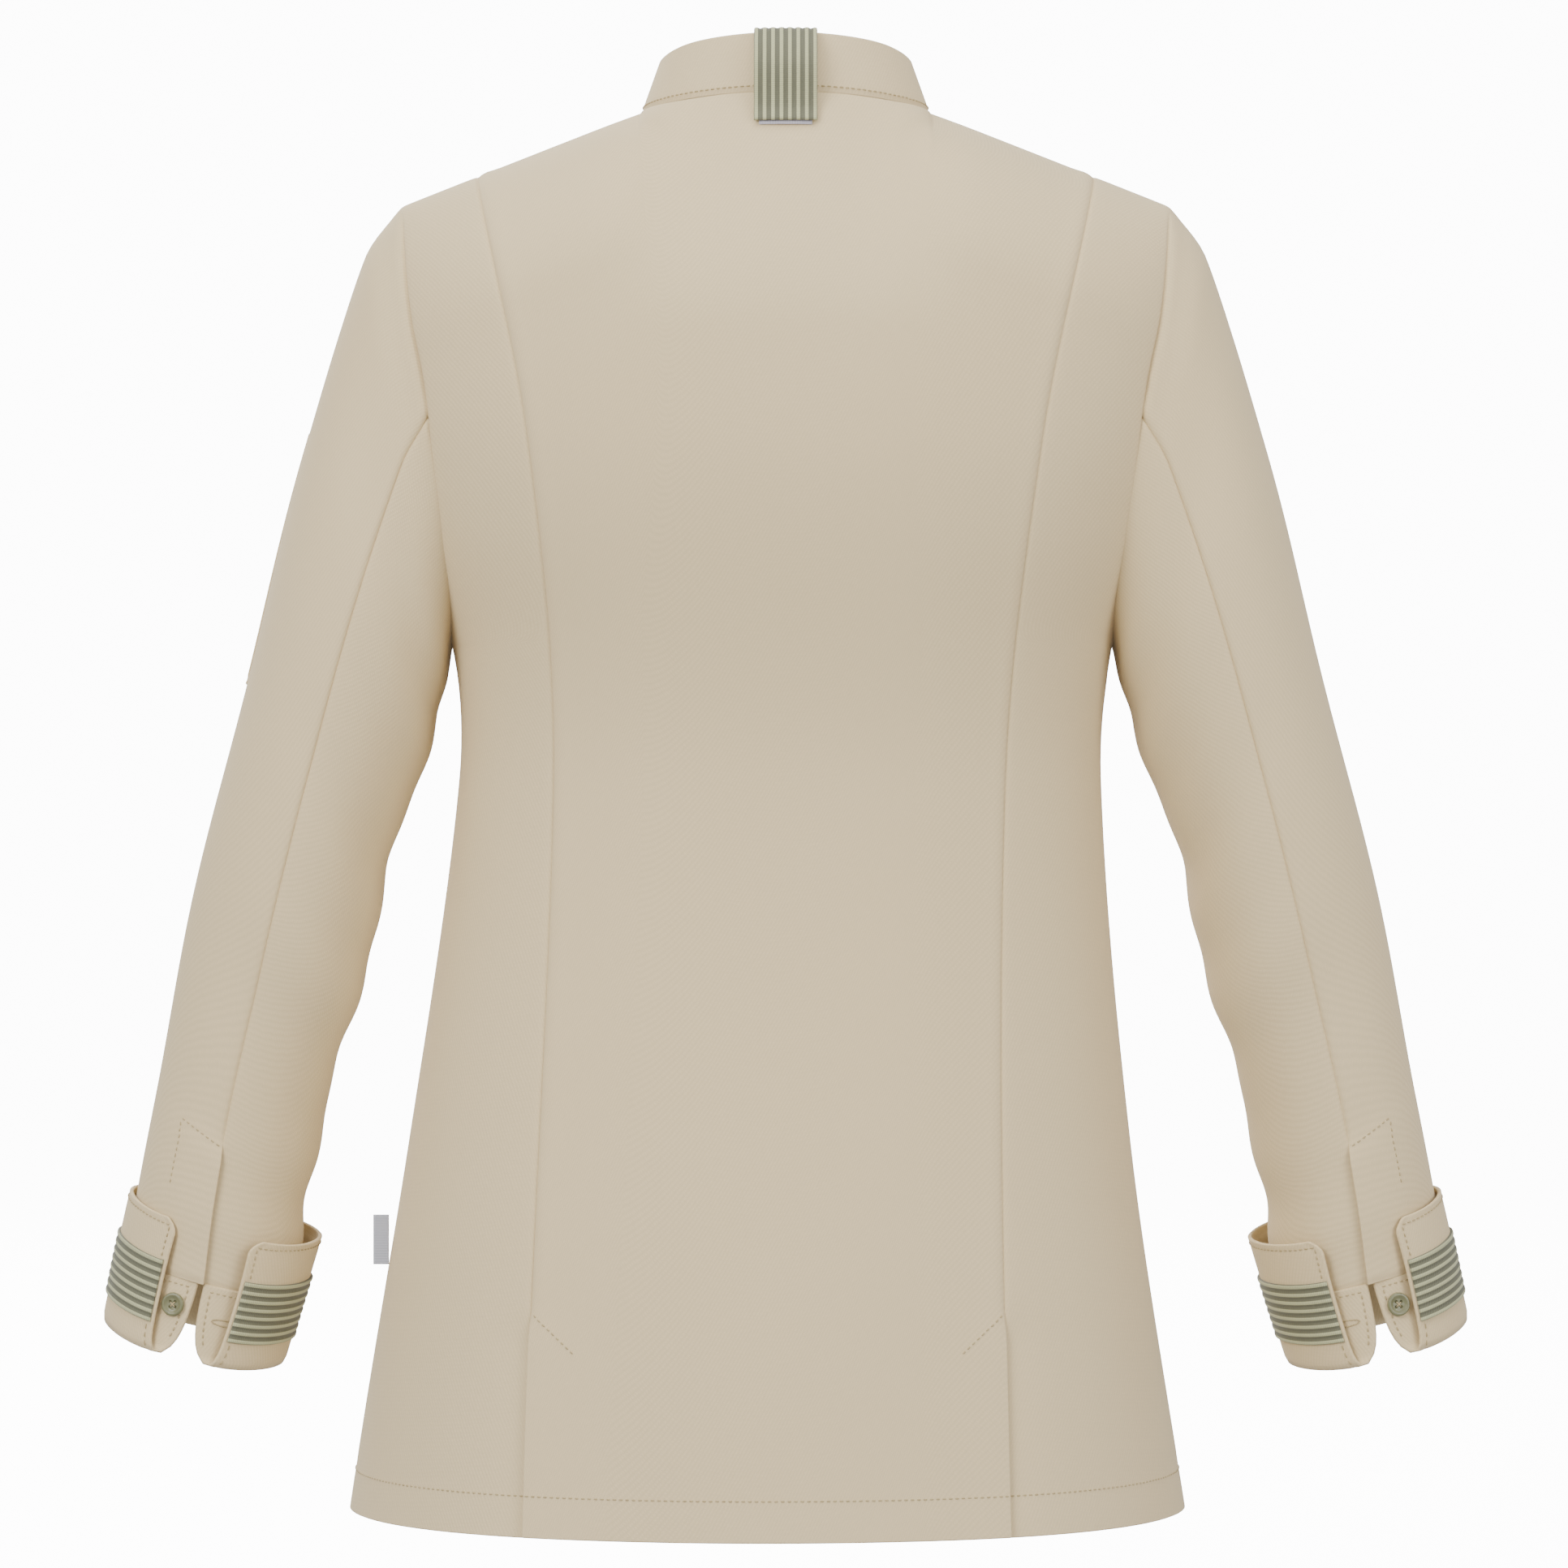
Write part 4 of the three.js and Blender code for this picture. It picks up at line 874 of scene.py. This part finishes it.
# The yarns lie 0.8 mm apart, twice as far as the real ones, so that they show.
TAPE_YARN = 0.8
lilac_weft = add(lilac, "ShaderNodeTexWave", [("Vector", lilac_place, "UV")],
                 bands_direction="X", in_Scale=wave_scale(TAPE_YARN), in_Distortion=0.6)
# Painted shade and highlight: the colour follows the weft's relief, darker in the hollows between the yarns
# and lighter on their crests.
lilac_weave_shade = add(lilac, "ShaderNodeMix", [("Factor", lilac_weft, "Fac")],
                data_type="RGBA", in_A=linear(0xA6A1AA), in_B=linear(0xC6C2CB))
join(lilac, lilac_weave_shade, "Result", lilac_shader, "Base Color")
lilac_bump = add(lilac, "ShaderNodeBump", [("Height", lilac_weft, "Fac")],
                 in_Strength=0.4, in_Distance=0.1 * MM)
join(lilac, lilac_bump, "Normal", lilac_shader, "Normal")

low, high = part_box("hanger_loop")
hanger_x = np.linspace(low[0], high[0], 41) / MM
hanger_t = hanger_x / 32
hanger_sag = 4 * (1 - hanger_t**2)
sewn_z = np.full_like(hanger_x, -14.0)
hanger_z = sewn_z - hanger_sag
hanger_y = body_point(1, angle_at(hanger_x, sewn_z), sewn_z)[:, 1] - 6.0 - hanger_sag
widths = np.linspace(3, -3, 9)[:, None]
hanger_mid = points_of(hanger_x, hanger_y + widths * 0.1, hanger_z + widths)
hanger = cloth("hanger_tape", hanger_mid + [0, 0.35, 0], hanger_mid - [0, 0.35, 0], lilac, bulge=0.1)
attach(hanger, "torso")
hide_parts("hanger_loop")

# ---------------------------------------------------------------- collar loop
# A 30 mm corded ribbon, with seven light ribs between eight dark ones, is sewn inside the collar, goes
# over its top edge and snaps onto a stud under it. A strip of lilac tape backs the stud.

RIBBON_WIDTH = 30.0
RIB_PITCH = RIBBON_WIDTH / 7.5
RUNG_SPACING = 1.0


def ribbon(name, middle, out, material):
    """A corded ribbon. middle is a grid whose columns lie across it, and out its outward directions."""
    across = np.linspace(0, RIBBON_WIDTH, middle.shape[1])
    ribs = 0.5 - 0.5 * np.cos(2 * pi * (across + RIB_PITCH / 4) / RIB_PITCH)
    height = 0.45 + 0.55 * ribs**0.7
    height[0] = height[-1] = 0.45
    outer = middle + out * height[None, :, None]
    inner = middle - out * 0.4
    return cloth(name, outer, inner, material, bulge=0.15, flat=points_of(run_length(middle, 0), across))


# Polyester cord ribbon, jacquard woven: pale sage ribs stand up between grey-green ones, and the
# binding yarn crosses them in a fine ladder.
striped, striped_shader = finish_named(
    "sage_corded_ribbon", Roughness=0.75, Sheen_Weight=0.15, Sheen_Roughness=0.5)
striped_place = add(striped, "ShaderNodeTexCoord")
striped_parts = add(striped, "ShaderNodeSeparateXYZ", [("Vector", striped_place, "UV")])
striped_turn = add(striped, "ShaderNodeMath", [(0, striped_parts, "Y")],
                   operation="MULTIPLY", in_1=2 * pi / (RIB_PITCH * MM))
striped_phase = add(striped, "ShaderNodeMath", [(0, striped_turn, "Value")], operation="ADD", in_1=pi / 2)
striped_wave = add(striped, "ShaderNodeMath", [(0, striped_phase, "Value")], operation="COSINE")
striped_edge = add(striped, "ShaderNodeMapRange", [("Value", striped_wave, "Value")],
                   interpolation_type="SMOOTHSTEP", in_From_Min=-0.05, in_From_Max=-0.5)
striped_base = add(striped, "ShaderNodeMix", [("Factor", striped_edge, "Result")],
                   data_type="RGBA", in_A=linear(0x5F5F4A), in_B=linear(0xB4B48A))
striped_rungs = add(striped, "ShaderNodeTexWave", [("Vector", striped_place, "UV")],
                    bands_direction="X", in_Scale=wave_scale(RUNG_SPACING), in_Distortion=0.8)
striped_shadow = add(striped, "ShaderNodeMath", [(0, striped_rungs, "Fac")],
                     operation="MULTIPLY", in_1=0.28)
striped_mix = add(striped, "ShaderNodeMix",
                  [("Factor", striped_shadow, "Value"), ("A", striped_base, "Result")],
                  data_type="RGBA", in_B=linear(0x58583F))
join(striped, striped_mix, "Result", striped_shader, "Base Color")
striped_bump = add(striped, "ShaderNodeBump", [("Height", striped_rungs, "Fac")],
                   in_Strength=0.5, in_Distance=0.15 * MM)
join(striped, striped_bump, "Normal", striped_shader, "Normal")


def smooth_path(points, count):
    """Points along a smooth line through the given ones, evenly spaced."""
    points = np.array(points, float)
    way = run_length(points, 0)
    fine = np.linspace(0, way[-1], 600)
    line = np.stack([through(*zip(-way, points[:, i]))(-fine) for i in range(points.shape[1])], -1)
    length = run_length(line, 0)
    even = np.linspace(0, length[-1], count)
    return np.stack([np.interp(even, length, line[:, i]) for i in range(points.shape[1])], -1)


def back_y(z):
    return float(body_point(1, np.array([0.0]), np.array([float(z)]))[0, 1])


LOOP_TOP = 28.4
NECK_BEND = 126.0
loop_path = smooth_path([
    (48.3, LOOP_TOP - 16), (47.8, LOOP_TOP - 1), (50.1, LOOP_TOP + 1.5), (51.3, LOOP_TOP + 1.8),
    (53.4, LOOP_TOP + 1.2), (55.7, LOOP_TOP - 0.8), (61.9, LOOP_TOP - 8), (65.8, LOOP_TOP - 17),
    (back_y(-8) + 3.8, -8), (back_y(-15) + 3.0, -15),
], 60)
step = np.gradient(loop_path, axis=0)
step /= np.linalg.norm(step, axis=1, keepdims=True)
loop_x = np.linspace(-RIBBON_WIDTH / 2, RIBBON_WIDTH / 2, 91)
loop_mid = points_of(loop_x, loop_path[:, :1] - loop_x**2 / NECK_BEND, loop_path[:, 1:])
loop_out = np.zeros_like(loop_mid)
loop_out[..., 1] = -step[:, 1:]
loop_out[..., 2] = step[:, :1]
loop = ribbon("collar_ribbon_loop", loop_mid, loop_out, striped)
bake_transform(loop)
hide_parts("collar_loop", "loop_anchor")

backing_z = np.linspace(-4.5, -17, 12)
backing_x = np.linspace(-12.5, 12.5, 25)
backing_y = np.array([back_y(z) for z in backing_z])[:, None] + 0.95 - backing_x**2 / NECK_BEND
backing_mid = points_of(backing_x, backing_y, backing_z[:, None])
backing = cloth("loop_tape", backing_mid + [0, 0.4, 0.1], backing_mid - [0, 0.4, 0.1], lilac, bulge=0.1)
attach(backing, "torso")
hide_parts("loop_backing")
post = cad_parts["loop_post"]
post.data.materials.clear()
post.data.materials.append(nickel)

# ---------------------------------------------------------------- sleeves
# Two-piece sleeves, a wide top sleeve and a narrower under sleeve, with seams down the back and the
# front of the arm. The back seam is left open above the cuff as a slit with a placket under it.

RING_STEPS = 20
BACK_SEAM, FRONT_SEAM = 5.0, 13.0
WRIST_DEPTH = 43.0
SLIT_START = 10 / 12
TACK_WIDTH = 26.0


def arm_line(*points):
    """A line down the arm as a function of the share of its length."""
    even = smooth_path(points, 400)
    shares = np.linspace(0, 1, 400)
    return lambda t: (np.interp(t, shares, even[:, 0]), np.interp(t, shares, even[:, 1]))


arm_top = arm_line(
    (186, -49), (204, -74), (232, -166), (262, -279), (284, -374), (304, -468), (313, -515), (319, -557))
arm_under = arm_line(
    (160, -262), (167, -291), (183, -342), (201, -405), (218, -468), (230, -515), (239, -578))


def sleeve_point(side, ring_number, t):
    """The plain sleeve. ring_number goes round it from 0 on the outside over the back, and t down it."""
    turn = 2 * pi * ring_number / RING_STEPS
    top_x, top_z = arm_top(t)
    under_x, under_z = arm_under(t)
    face = np.where(np.sin(turn) >= 0, 1.0, -1.0)
    fade = np.maximum(0, 1 - t / 0.3) ** 2
    depth = mix(np.where(face > 0, 60.0, 56.0), WRIST_DEPTH, smooth(0.55 * t + 0.45 * t * t))
    x = (top_x + under_x) / 2 + (top_x - under_x) / 2 * np.cos(turn)
    z = (top_z + under_z) / 2 + (top_z - under_z) / 2 * np.cos(turn)
    k = np.abs((ring_number + RING_STEPS / 2) % RING_STEPS - RING_STEPS / 2)
    body = np.where(face > 0, body_x(1, k), body_x(-1, k))
    plain = (186 + 160) / 2 + (186 - 160) / 2 * np.cos(turn)
    x = x + (body - plain) * fade
    # The hem's lean moves the body's own edge, on the left and the right arm alike.
    lean = sideways(ARMHOLE_MIDDLE + ARMHOLE_HALF * np.cos(pi * k / 10)) * fade
    return np.stack([side * x + lean, depth * np.sin(turn), z], -1)


def body_x(face, k):
    angle, z = armhole(face, np.asarray(k, float))
    return body_point(face, angle, z)[..., 0] - sideways(z)


def sleeve_folds(ring_number, t):
    """Soft cross folds under the arm and inside the elbow, fading out at both ends and on the outside."""
    turn = 2 * pi * (ring_number - 10) / RING_STEPS
    inside = np.exp(-((turn / 1.25) ** 2))
    ends = smooth(t / 0.12) * smooth((1 - t) / 0.08)
    waves = 1.5 * np.sin(t * 29 + 2.2 * np.sin(t * 7) + 0.9 * np.sin(turn))
    waves = waves + 0.8 * np.sin(t * 47 + 1.4 * turn + 1.0)
    outer_side = 0.8 * np.sin(t * 17 + turn * 1.1) + 0.6 * np.sin(t * 11 - turn * 2.0 + 0.5)
    return ends * (inside * waves + outer_side)


def sleeve_blend(piece):
    """Bakes the piece's placement into its mesh."""
    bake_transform(piece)


sleeve_t = lines(530, 5.0)
sleeve_faces = {}
for side, word in SIDES:
    for part, first_ring, last_ring, girth in (
        ("top_sleeve", FRONT_SEAM - RING_STEPS, BACK_SEAM, 190),
        ("under_sleeve", BACK_SEAM, FRONT_SEAM, 130),
    ):
        rings = mix(first_ring, last_ring, lines(girth, 4.4))[None, :]
        t = np.broadcast_to(sleeve_t[:, None], (len(sleeve_t), rings.shape[1]))
        rings = np.broadcast_to(rings, t.shape)
        grid = sleeve_point(side, rings, t)
        (top_x, top_z), (under_x, under_z) = arm_top(t), arm_under(t)
        out = outward(grid, points_of(side * (top_x + under_x) / 2, 0.0, (top_z + under_z) / 2))
        d_top, d_low, d_first, d_last = edge_distance(grid)
        back_edge = d_last if part == "top_sleeve" else d_first
        front_edge = d_first if part == "top_sleeve" else d_last
        closed = 1 - smooth((t - SLIT_START) / 0.02)
        head_z = grid[:1, :, 2]
        sink = seam_depth(head_z) * sewn(d_top, True) + 0.8 * np.exp(-((d_low / 2.0) ** 2))
        sink = sink + closed * sewn(back_edge, part == "top_sleeve") + sewn(front_edge)
        face = grid + out * (sleeve_folds(rings, t) - sink)[..., None]
        # Down the slit the top sleeve's edge lies over the under sleeve's, which runs on below it.
        opening = smooth((t - SLIT_START) / 0.03) * np.exp(-back_edge / 16)
        around = np.gradient(grid, axis=1)
        around /= np.linalg.norm(around, axis=-1, keepdims=True)
        onwards, lift = (1.2, 2.6) if part == "top_sleeve" else (-4.0, -0.8)
        face = face + around * (onwards * opening)[..., None] + out * (lift * opening)[..., None]
        # The seam allowance at its head runs on inside the armhole.
        turned_in = [face[:1] - out[:1] * drop - [side * inwards, 0, 0]
                     for inwards, drop in ((6.0, 1.8), (2.5, 1.1))]
        whole = np.concatenate([*turned_in, face])
        whole_out = np.concatenate([out[:1], out[:1], out])
        piece = cloth(f"{part}_cloth_{word}", whole, whole - whole_out * CLOTH, twill)
        sleeve_blend(piece)
        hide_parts(f"{part}_{word}")
        sleeve_faces[part, side] = (face, out, piece)
    face, out, piece = sleeve_faces["top_sleeve", side]
    # The placket is tacked through at its head, in a short row across the top sleeve.
    row = np.interp(SLIT_START + 0.012, sleeve_t, np.arange(len(sleeve_t)))
    tack = stitches(f"placket_tack_{word}", [
        side_line(face, out, np.linspace(1.0, TACK_WIDTH, 24), np.full(24, row)),
        side_line(face, out, TACK_WIDTH, np.linspace(row + 0.3, row + 7.0, 30))])
    sleeve_blend(tack)
    under_face, under_out, under_piece = sleeve_faces["under_sleeve", side]
    rows = np.where(sleeve_t > SLIT_START - 0.05)[0]
    reach = int(np.interp(16, run_length(under_face, 1)[rows[0]], np.arange(under_face.shape[1])))
    strip = under_face[rows][:, :reach] - under_out[rows][:, :reach] * 1.7
    strip_out = under_out[rows][:, :reach]
    # It starts under the top sleeve's edge, so the open slit shows the placket and not the inside.
    lead = np.gradient(strip, axis=1)[:, :1]
    lead = lead / np.linalg.norm(lead, axis=-1, keepdims=True)
    extra = [strip[:, :1] - lead * d - strip_out[:, :1] * 0.5 for d in (9.0, 6.0, 3.0)]
    strip = np.concatenate([*extra, strip], axis=1)
    strip_out = np.concatenate([strip_out[:, :1]] * 3 + [strip_out], axis=1)
    placket = cloth(f"placket_{word}", strip, strip - strip_out * FACING, twill)
    sleeve_blend(placket)
    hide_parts(f"sleeve_placket_{word}")

# ---------------------------------------------------------------- pen pocket
# A narrow patch pocket for pens on the outside of the left sleeve, turned in and edge-stitched on
# three sides, open and hemmed at the top.

POCKET_STITCH = 2.4
top_start = np.array([SHOULDER_HALF, -SHOULDER_DROP])
wrist_x, wrist_z = arm_top(1.0)
under_wrist = np.array(arm_under(1.0))
wrist_across = np.array([wrist_x, wrist_z]) - under_wrist
WRIST_HALF = float(np.linalg.norm(wrist_across)) / 2
wrist_across /= np.linalg.norm(wrist_across)
wrist_down = np.array([wrist_across[1], -wrist_across[0]])


def on_sleeve(ring_number, down):
    """The share of the sleeve's length at which this ring is this far below the shoulder point."""
    low, high = np.zeros_like(down), np.ones_like(down)
    for _ in range(30):
        middle = (low + high) / 2
        p = sleeve_point(1, ring_number, middle)
        reach = (p[..., 0] - top_start[0]) * wrist_down[0] + (p[..., 2] - top_start[1]) * wrist_down[1]
        low, high = np.where(reach < down, middle, low), np.where(reach < down, high, middle)
    return (low + high) / 2


pocket_downs = mix(118.0, 243.0, lines(125, 4.0))[:, None]
pocket_rings = mix(-4.0, 0.0, lines(60, 3.6))[None, :]
pocket_downs, pocket_rings = np.broadcast_arrays(pocket_downs, pocket_rings)
pocket_t = on_sleeve(pocket_rings, pocket_downs)
pocket_grid = sleeve_point(1, pocket_rings, pocket_t)
pocket_out = outward(pocket_grid, (150, 0, -200))
d_top, d_low, d_first, d_last = edge_distance(pocket_grid)
pocket_lift = 1.0 + 0.8 * np.exp(-((d_top / 14) ** 2)) * smooth(np.minimum(d_first, d_last) / 16)
stitched_dip = sum(0.35 * np.exp(-((d - POCKET_STITCH) ** 2)) for d in (d_low, d_first, d_last))
pocket_move = sleeve_folds(pocket_rings, pocket_t) + pocket_lift - stitched_dip
pocket_face = pocket_grid + pocket_out * pocket_move[..., None]
pocket = cloth("pen_pocket_patch", pocket_face, pocket_face - pocket_out * 1.1, twill, bulge=0.4)
count_rows, count_cols = pocket_face.shape[:2]
rows = np.interp(np.linspace(1.5, 122.6, 80), run_length(pocket_face, 0)[:, 0], np.arange(count_rows))
runs = [side_line(pocket_face, pocket_out, POCKET_STITCH, rows, last) for last in (False, True)]
runs.append(hem_line(pocket_face, pocket_out, POCKET_STITCH, 0.04, 0.96))
top_hem = np.interp(16.0, run_length(pocket_face, 0)[:, count_cols // 2], np.arange(count_rows))
runs.append(line_on(pocket_face, pocket_out, np.linspace(1, count_cols - 2, 40), np.full(40, top_hem)))
pocket_stitches = stitches("pen_pocket_stitching", runs)
for made in (pocket, pocket_stitches):
    sleeve_blend(made)
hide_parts("pen_pocket")

# ---------------------------------------------------------------- cuffs
# Each cuff is a split band of doubled twill, sewn to the sleeve, turned up over it and edge-stitched.
# The corded ribbon goes round its turned part, and a button sits on the band behind the split.

CUFF_INSIDE, CUFF_TURNED = 31.0, 64.0
CUFF_GIRTH = 270.0
CUFF_CLOTH = 2.0
STAND_OFF = 5.6
RIBBON_ABOVE_FOLD = 14.0
SPLIT_SEAM, SPLIT_TOP = 2.0, 17.0
HOLE_SPREAD = 1.25
WRIST_MIDDLE = (np.array([wrist_x, wrist_z]) + under_wrist) / 2
# Off the sleeve's surface, below the cuff's seam, and half the width of the split.
cuff_path = smooth_path([
    (-0.9, 0.3, SPLIT_SEAM), (-0.9, 10, 2.4), (-0.8, 19, 3.4), (-0.7, CUFF_INSIDE - 6.5, 5.4),
    (-0.6, CUFF_INSIDE - 3.2, 7.8), (-0.1, CUFF_INSIDE - 1.0, 10.4), (1.2, CUFF_INSIDE, 12.6),
    (2.5, CUFF_INSIDE - 1.0, 14.2), (3.1, CUFF_INSIDE - 3.4, 15.4), (3.4, CUFF_INSIDE - 9, 16.6),
    (4.0, CUFF_INSIDE - 24, 17.4), (4.9, CUFF_INSIDE - 44, 17.6),
    (STAND_OFF, CUFF_INSIDE - CUFF_TURNED, SPLIT_TOP),
], 90)
cuff_step = np.gradient(cuff_path[:, :2], axis=0)
cuff_step /= np.linalg.norm(cuff_step, axis=1, keepdims=True)
cuff_way = run_length(cuff_path[:, :2], 0)


def cuff_point(side, way, share, shift, extra=0.0):
    """A point of the cuff. way is how far it is from the seam, share goes round, extra widens the split."""
    off, down, split = [np.interp(way, cuff_way, cuff_path[:, i]) for i in range(3)]
    step_off, step_down = [np.interp(way, cuff_way, cuff_step[:, i]) for i in range(2)]
    off, down = off + step_down * shift, down - step_off * shift
    # The cut corners hang a little lower than the rest of the cuff.
    down = down + 6.5 * smooth((way - 10) / 22) * np.exp(-((np.minimum(share, 1 - share) / 0.17) ** 2))
    gap = (split + extra) / ((WRIST_HALF + WRIST_DEPTH) / 2)
    turn = mix(pi / 2 + gap, 5 * pi / 2 - gap, share)
    reach = (WRIST_HALF + off) * np.cos(turn)
    x = WRIST_MIDDLE[0] + wrist_across[0] * reach + wrist_down[0] * down
    z = WRIST_MIDDLE[1] + wrist_across[1] * reach + wrist_down[1] * down
    return np.stack([side * x, (WRIST_DEPTH + off) * np.sin(turn), z], -1)


def ripple(side, share, way):
    """The turned part's slight waviness round the arm."""
    return 0.5 * np.sin(share * 17 + side) * smooth((way - 34) / 30)


cuff_length = cuff_way[-1]
for side, word in SIDES:
    body = f"{word}_sleeve"
    way = lines(cuff_length, 3.0)[:, None] * cuff_length
    share = lines(CUFF_GIRTH, 3.6)[None, :]
    way, share = np.broadcast_arrays(way, share)
    # The turned part's top corners are rounded, and its stitched edge is a little thinner.
    from_top = cuff_length - way
    from_split = np.minimum(share, 1 - share) * CUFF_GIRTH
    rounding = 5.0 * np.clip(1 - from_top / 7, 0, 1) ** 2
    wobble = ripple(side, share, way)
    thickness = CUFF_CLOTH - 0.5 * np.exp(-(((from_top - 3) / 1.2) ** 2))
    thickness = thickness - 0.4 * np.exp(-(((from_split - 3) / 1.2) ** 2))
    front = cuff_point(side, way, share, -thickness / 2 - wobble, rounding)
    back = cuff_point(side, way, share, thickness / 2 - wobble, rounding)
    piece = cloth(f"cuff_{word}", front, back, twill, bulge=0.7)
    # The ribbon lies on the turned part's face, which is the band's inner side before the turn.
    ribbon_way = cuff_length - CUFF_TURNED + RIBBON_ABOVE_FOLD
    across, around = np.broadcast_arrays(
        ribbon_way + np.linspace(0, RIBBON_WIDTH, 91)[None, :], np.linspace(0.004, 0.996, 92)[:, None])
    wobble = ripple(side, around, across)
    ribbon_mid = cuff_point(side, across, around, -CUFF_CLOTH / 2 - 0.45 - wobble)
    ribbon_up = cuff_point(side, across, around, -CUFF_CLOTH / 2 - 1.45 - wobble)
    ribbon_out = ribbon_up - ribbon_mid
    ribbon_out /= np.linalg.norm(ribbon_out, axis=-1, keepdims=True)
    trim = ribbon(f"cuff_ribbon_band_{word}", ribbon_mid, ribbon_out, striped)
    # Stitching: along the top edge, and down both wings between the ribbon and the ends.
    runs = []
    s = np.linspace(0.012, 0.988, 180)
    traces = [(np.full_like(s, cuff_length - 3.0), s)]
    for s_end in (0.012, 0.988):
        for w_from, w_to in (
            (34.0, ribbon_way - 1.0), (ribbon_way + RIBBON_WIDTH + 1.0, cuff_length - 3.5),
        ):
            traces.append((np.linspace(w_from, w_to, 30), np.full(30, s_end)))
    for w, s in traces:
        bend = CUFF_CLOTH / 2 + ripple(side, s, w)
        line = cuff_point(side, w, s, -bend)
        runs.append((line, cuff_point(side, w, s, -bend - 1.0) - line))
    s = np.linspace(0.01, 0.99, 160)
    traces = [(np.full_like(s, 2.6), s)]
    for s_end in (0.013, 0.987):
        traces.append((np.linspace(3.5, 24, 16), np.full(16, s_end)))
    for w, s in traces:
        inner = cuff_point(side, w, s, CUFF_CLOTH / 2)
        runs.append((inner, cuff_point(side, w, s, CUFF_CLOTH / 2 + 1) - inner))
    edging = stitches(f"cuff_stitching_{word}", runs)
    # The buttonhole is worked in the band beyond the split: close satin stitches round a slit.
    t = np.linspace(0, 2 * pi, 60)
    hole_way = 15 + 1.1 * np.sin(t)
    hole_s = 0.052 + 0.026 * np.cos(t)
    hole = cuff_point(side, hole_way, hole_s, CUFF_CLOTH / 2)
    hole_up = cuff_point(side, hole_way, hole_s, CUFF_CLOTH / 2 + 1) - hole
    worked = stitches(f"cuff_buttonhole_{word}", [(hole, hole_up)], pitch=0.75, share=0.95, radius=0.42)
    # Four-hole button, sewn with a cross of thread.
    low, high = [np.array(c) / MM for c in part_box(f"cuff_button_{word}")]
    button_turn = pi / 2 - (4.8 + CAP_RADIUS) / WRIST_HALF
    axis_plane = wrist_across * cos(button_turn) / WRIST_HALF
    axis = np.array([side * axis_plane[0], sin(button_turn) / WRIST_DEPTH, axis_plane[1]])
    axis /= np.linalg.norm(axis)
    base = (low + high) / 2 - axis * 0.6
    profile = ([0, 0.5, 0.62, 0.75, 0.9, 0.97, 1.0], [0.95, 1.0, 1.3, 1.75, 1.7, 1.35, 0.6])
    spread = (-HOLE_SPREAD, HOLE_SPREAD)
    holes = [(x, y, 0.62, 1.1) for x in spread for y in spread]
    button = turned(f"button_{word}", base, axis, profile, CAP_RADIUS, olive, holes, rings=26, around=56)
    first, second = sideways_of(axis)
    crossing = []
    for lean in (1, -1):
        half = HOLE_SPREAD * (first + second * lean)
        line = np.array([base + axis - half, base + axis * 1.25, base + axis + half])
        crossing.append((line, np.tile(axis, (3, 1))))
    sewing = stitches(f"button_thread_{word}", crossing, pitch=4.0, share=1.0, radius=0.34)
    for made, where in ((piece, "twill"), (trim, "striped_ribbon"), (edging, "twill"), (worked, "twill"),
                        (button, "olive_plastic"), (sewing, "twill")):
        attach(made, body)
    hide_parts(f"cuff_band_{word}")
    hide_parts(f"cuff_ribbon_{word}")
    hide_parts(f"cuff_button_{word}")

# ---------------------------------------------------------------- side label
# A small woven tag folded in two and caught in the left side seam. It is left plain.

label_low, label_high = [np.array(c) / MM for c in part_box("side_label")]
reach = label_high[0] - 0.5
tag_root = label_low[0]
bend = np.linspace(-pi / 2, pi / 2, 9)
tag_line = [(x, -0.45) for x in np.linspace(tag_root, reach, 10)]
tag_line += [(reach + 0.45 * cos(a), 0.45 * sin(a)) for a in bend[1:-1]]
tag_line += [(x, 0.45) for x in np.linspace(reach, tag_root, 10)]
tag_line = np.array(tag_line)
tag_step = np.gradient(tag_line, axis=0)
tag_step /= np.linalg.norm(tag_step, axis=1, keepdims=True)
tag_z = np.linspace(label_low[2], label_high[2], 30)
tag_mid = points_of(tag_line[:, :1], tag_line[:, 1:], tag_z)
tag_out = points_of(tag_step[:, 1:], -tag_step[:, :1], 0 * tag_z)
# Damask-woven polyester: a smooth silvery blue with fine rows of yarn that catch the light.
woven_tag, tag_shader = finish_named("silver_label_weave", Roughness=0.5, Sheen_Weight=0.2)
tag_place = add(woven_tag, "ShaderNodeTexCoord")
tag_yarns = add(woven_tag, "ShaderNodeTexWave", [("Vector", tag_place, "Object")],
                bands_direction="Z", in_Scale=wave_scale(TAPE_YARN), in_Distortion=0.4)
tag_mix = add(woven_tag, "ShaderNodeMix", [("Factor", tag_yarns, "Fac")],
              data_type="RGBA", in_A=linear(0xA2A6B4), in_B=linear(0xC4C7D2))
join(woven_tag, tag_mix, "Result", tag_shader, "Base Color")
tag_bump = add(woven_tag, "ShaderNodeBump", [("Height", tag_yarns, "Fac")],
               in_Strength=0.4, in_Distance=0.08 * MM)
join(woven_tag, tag_bump, "Normal", tag_shader, "Normal")
tag = cloth("woven_tag", tag_mid + tag_out * 0.2, tag_mid - tag_out * 0.2, woven_tag, bulge=0.08)
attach(tag, "side_label")
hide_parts("side_label")
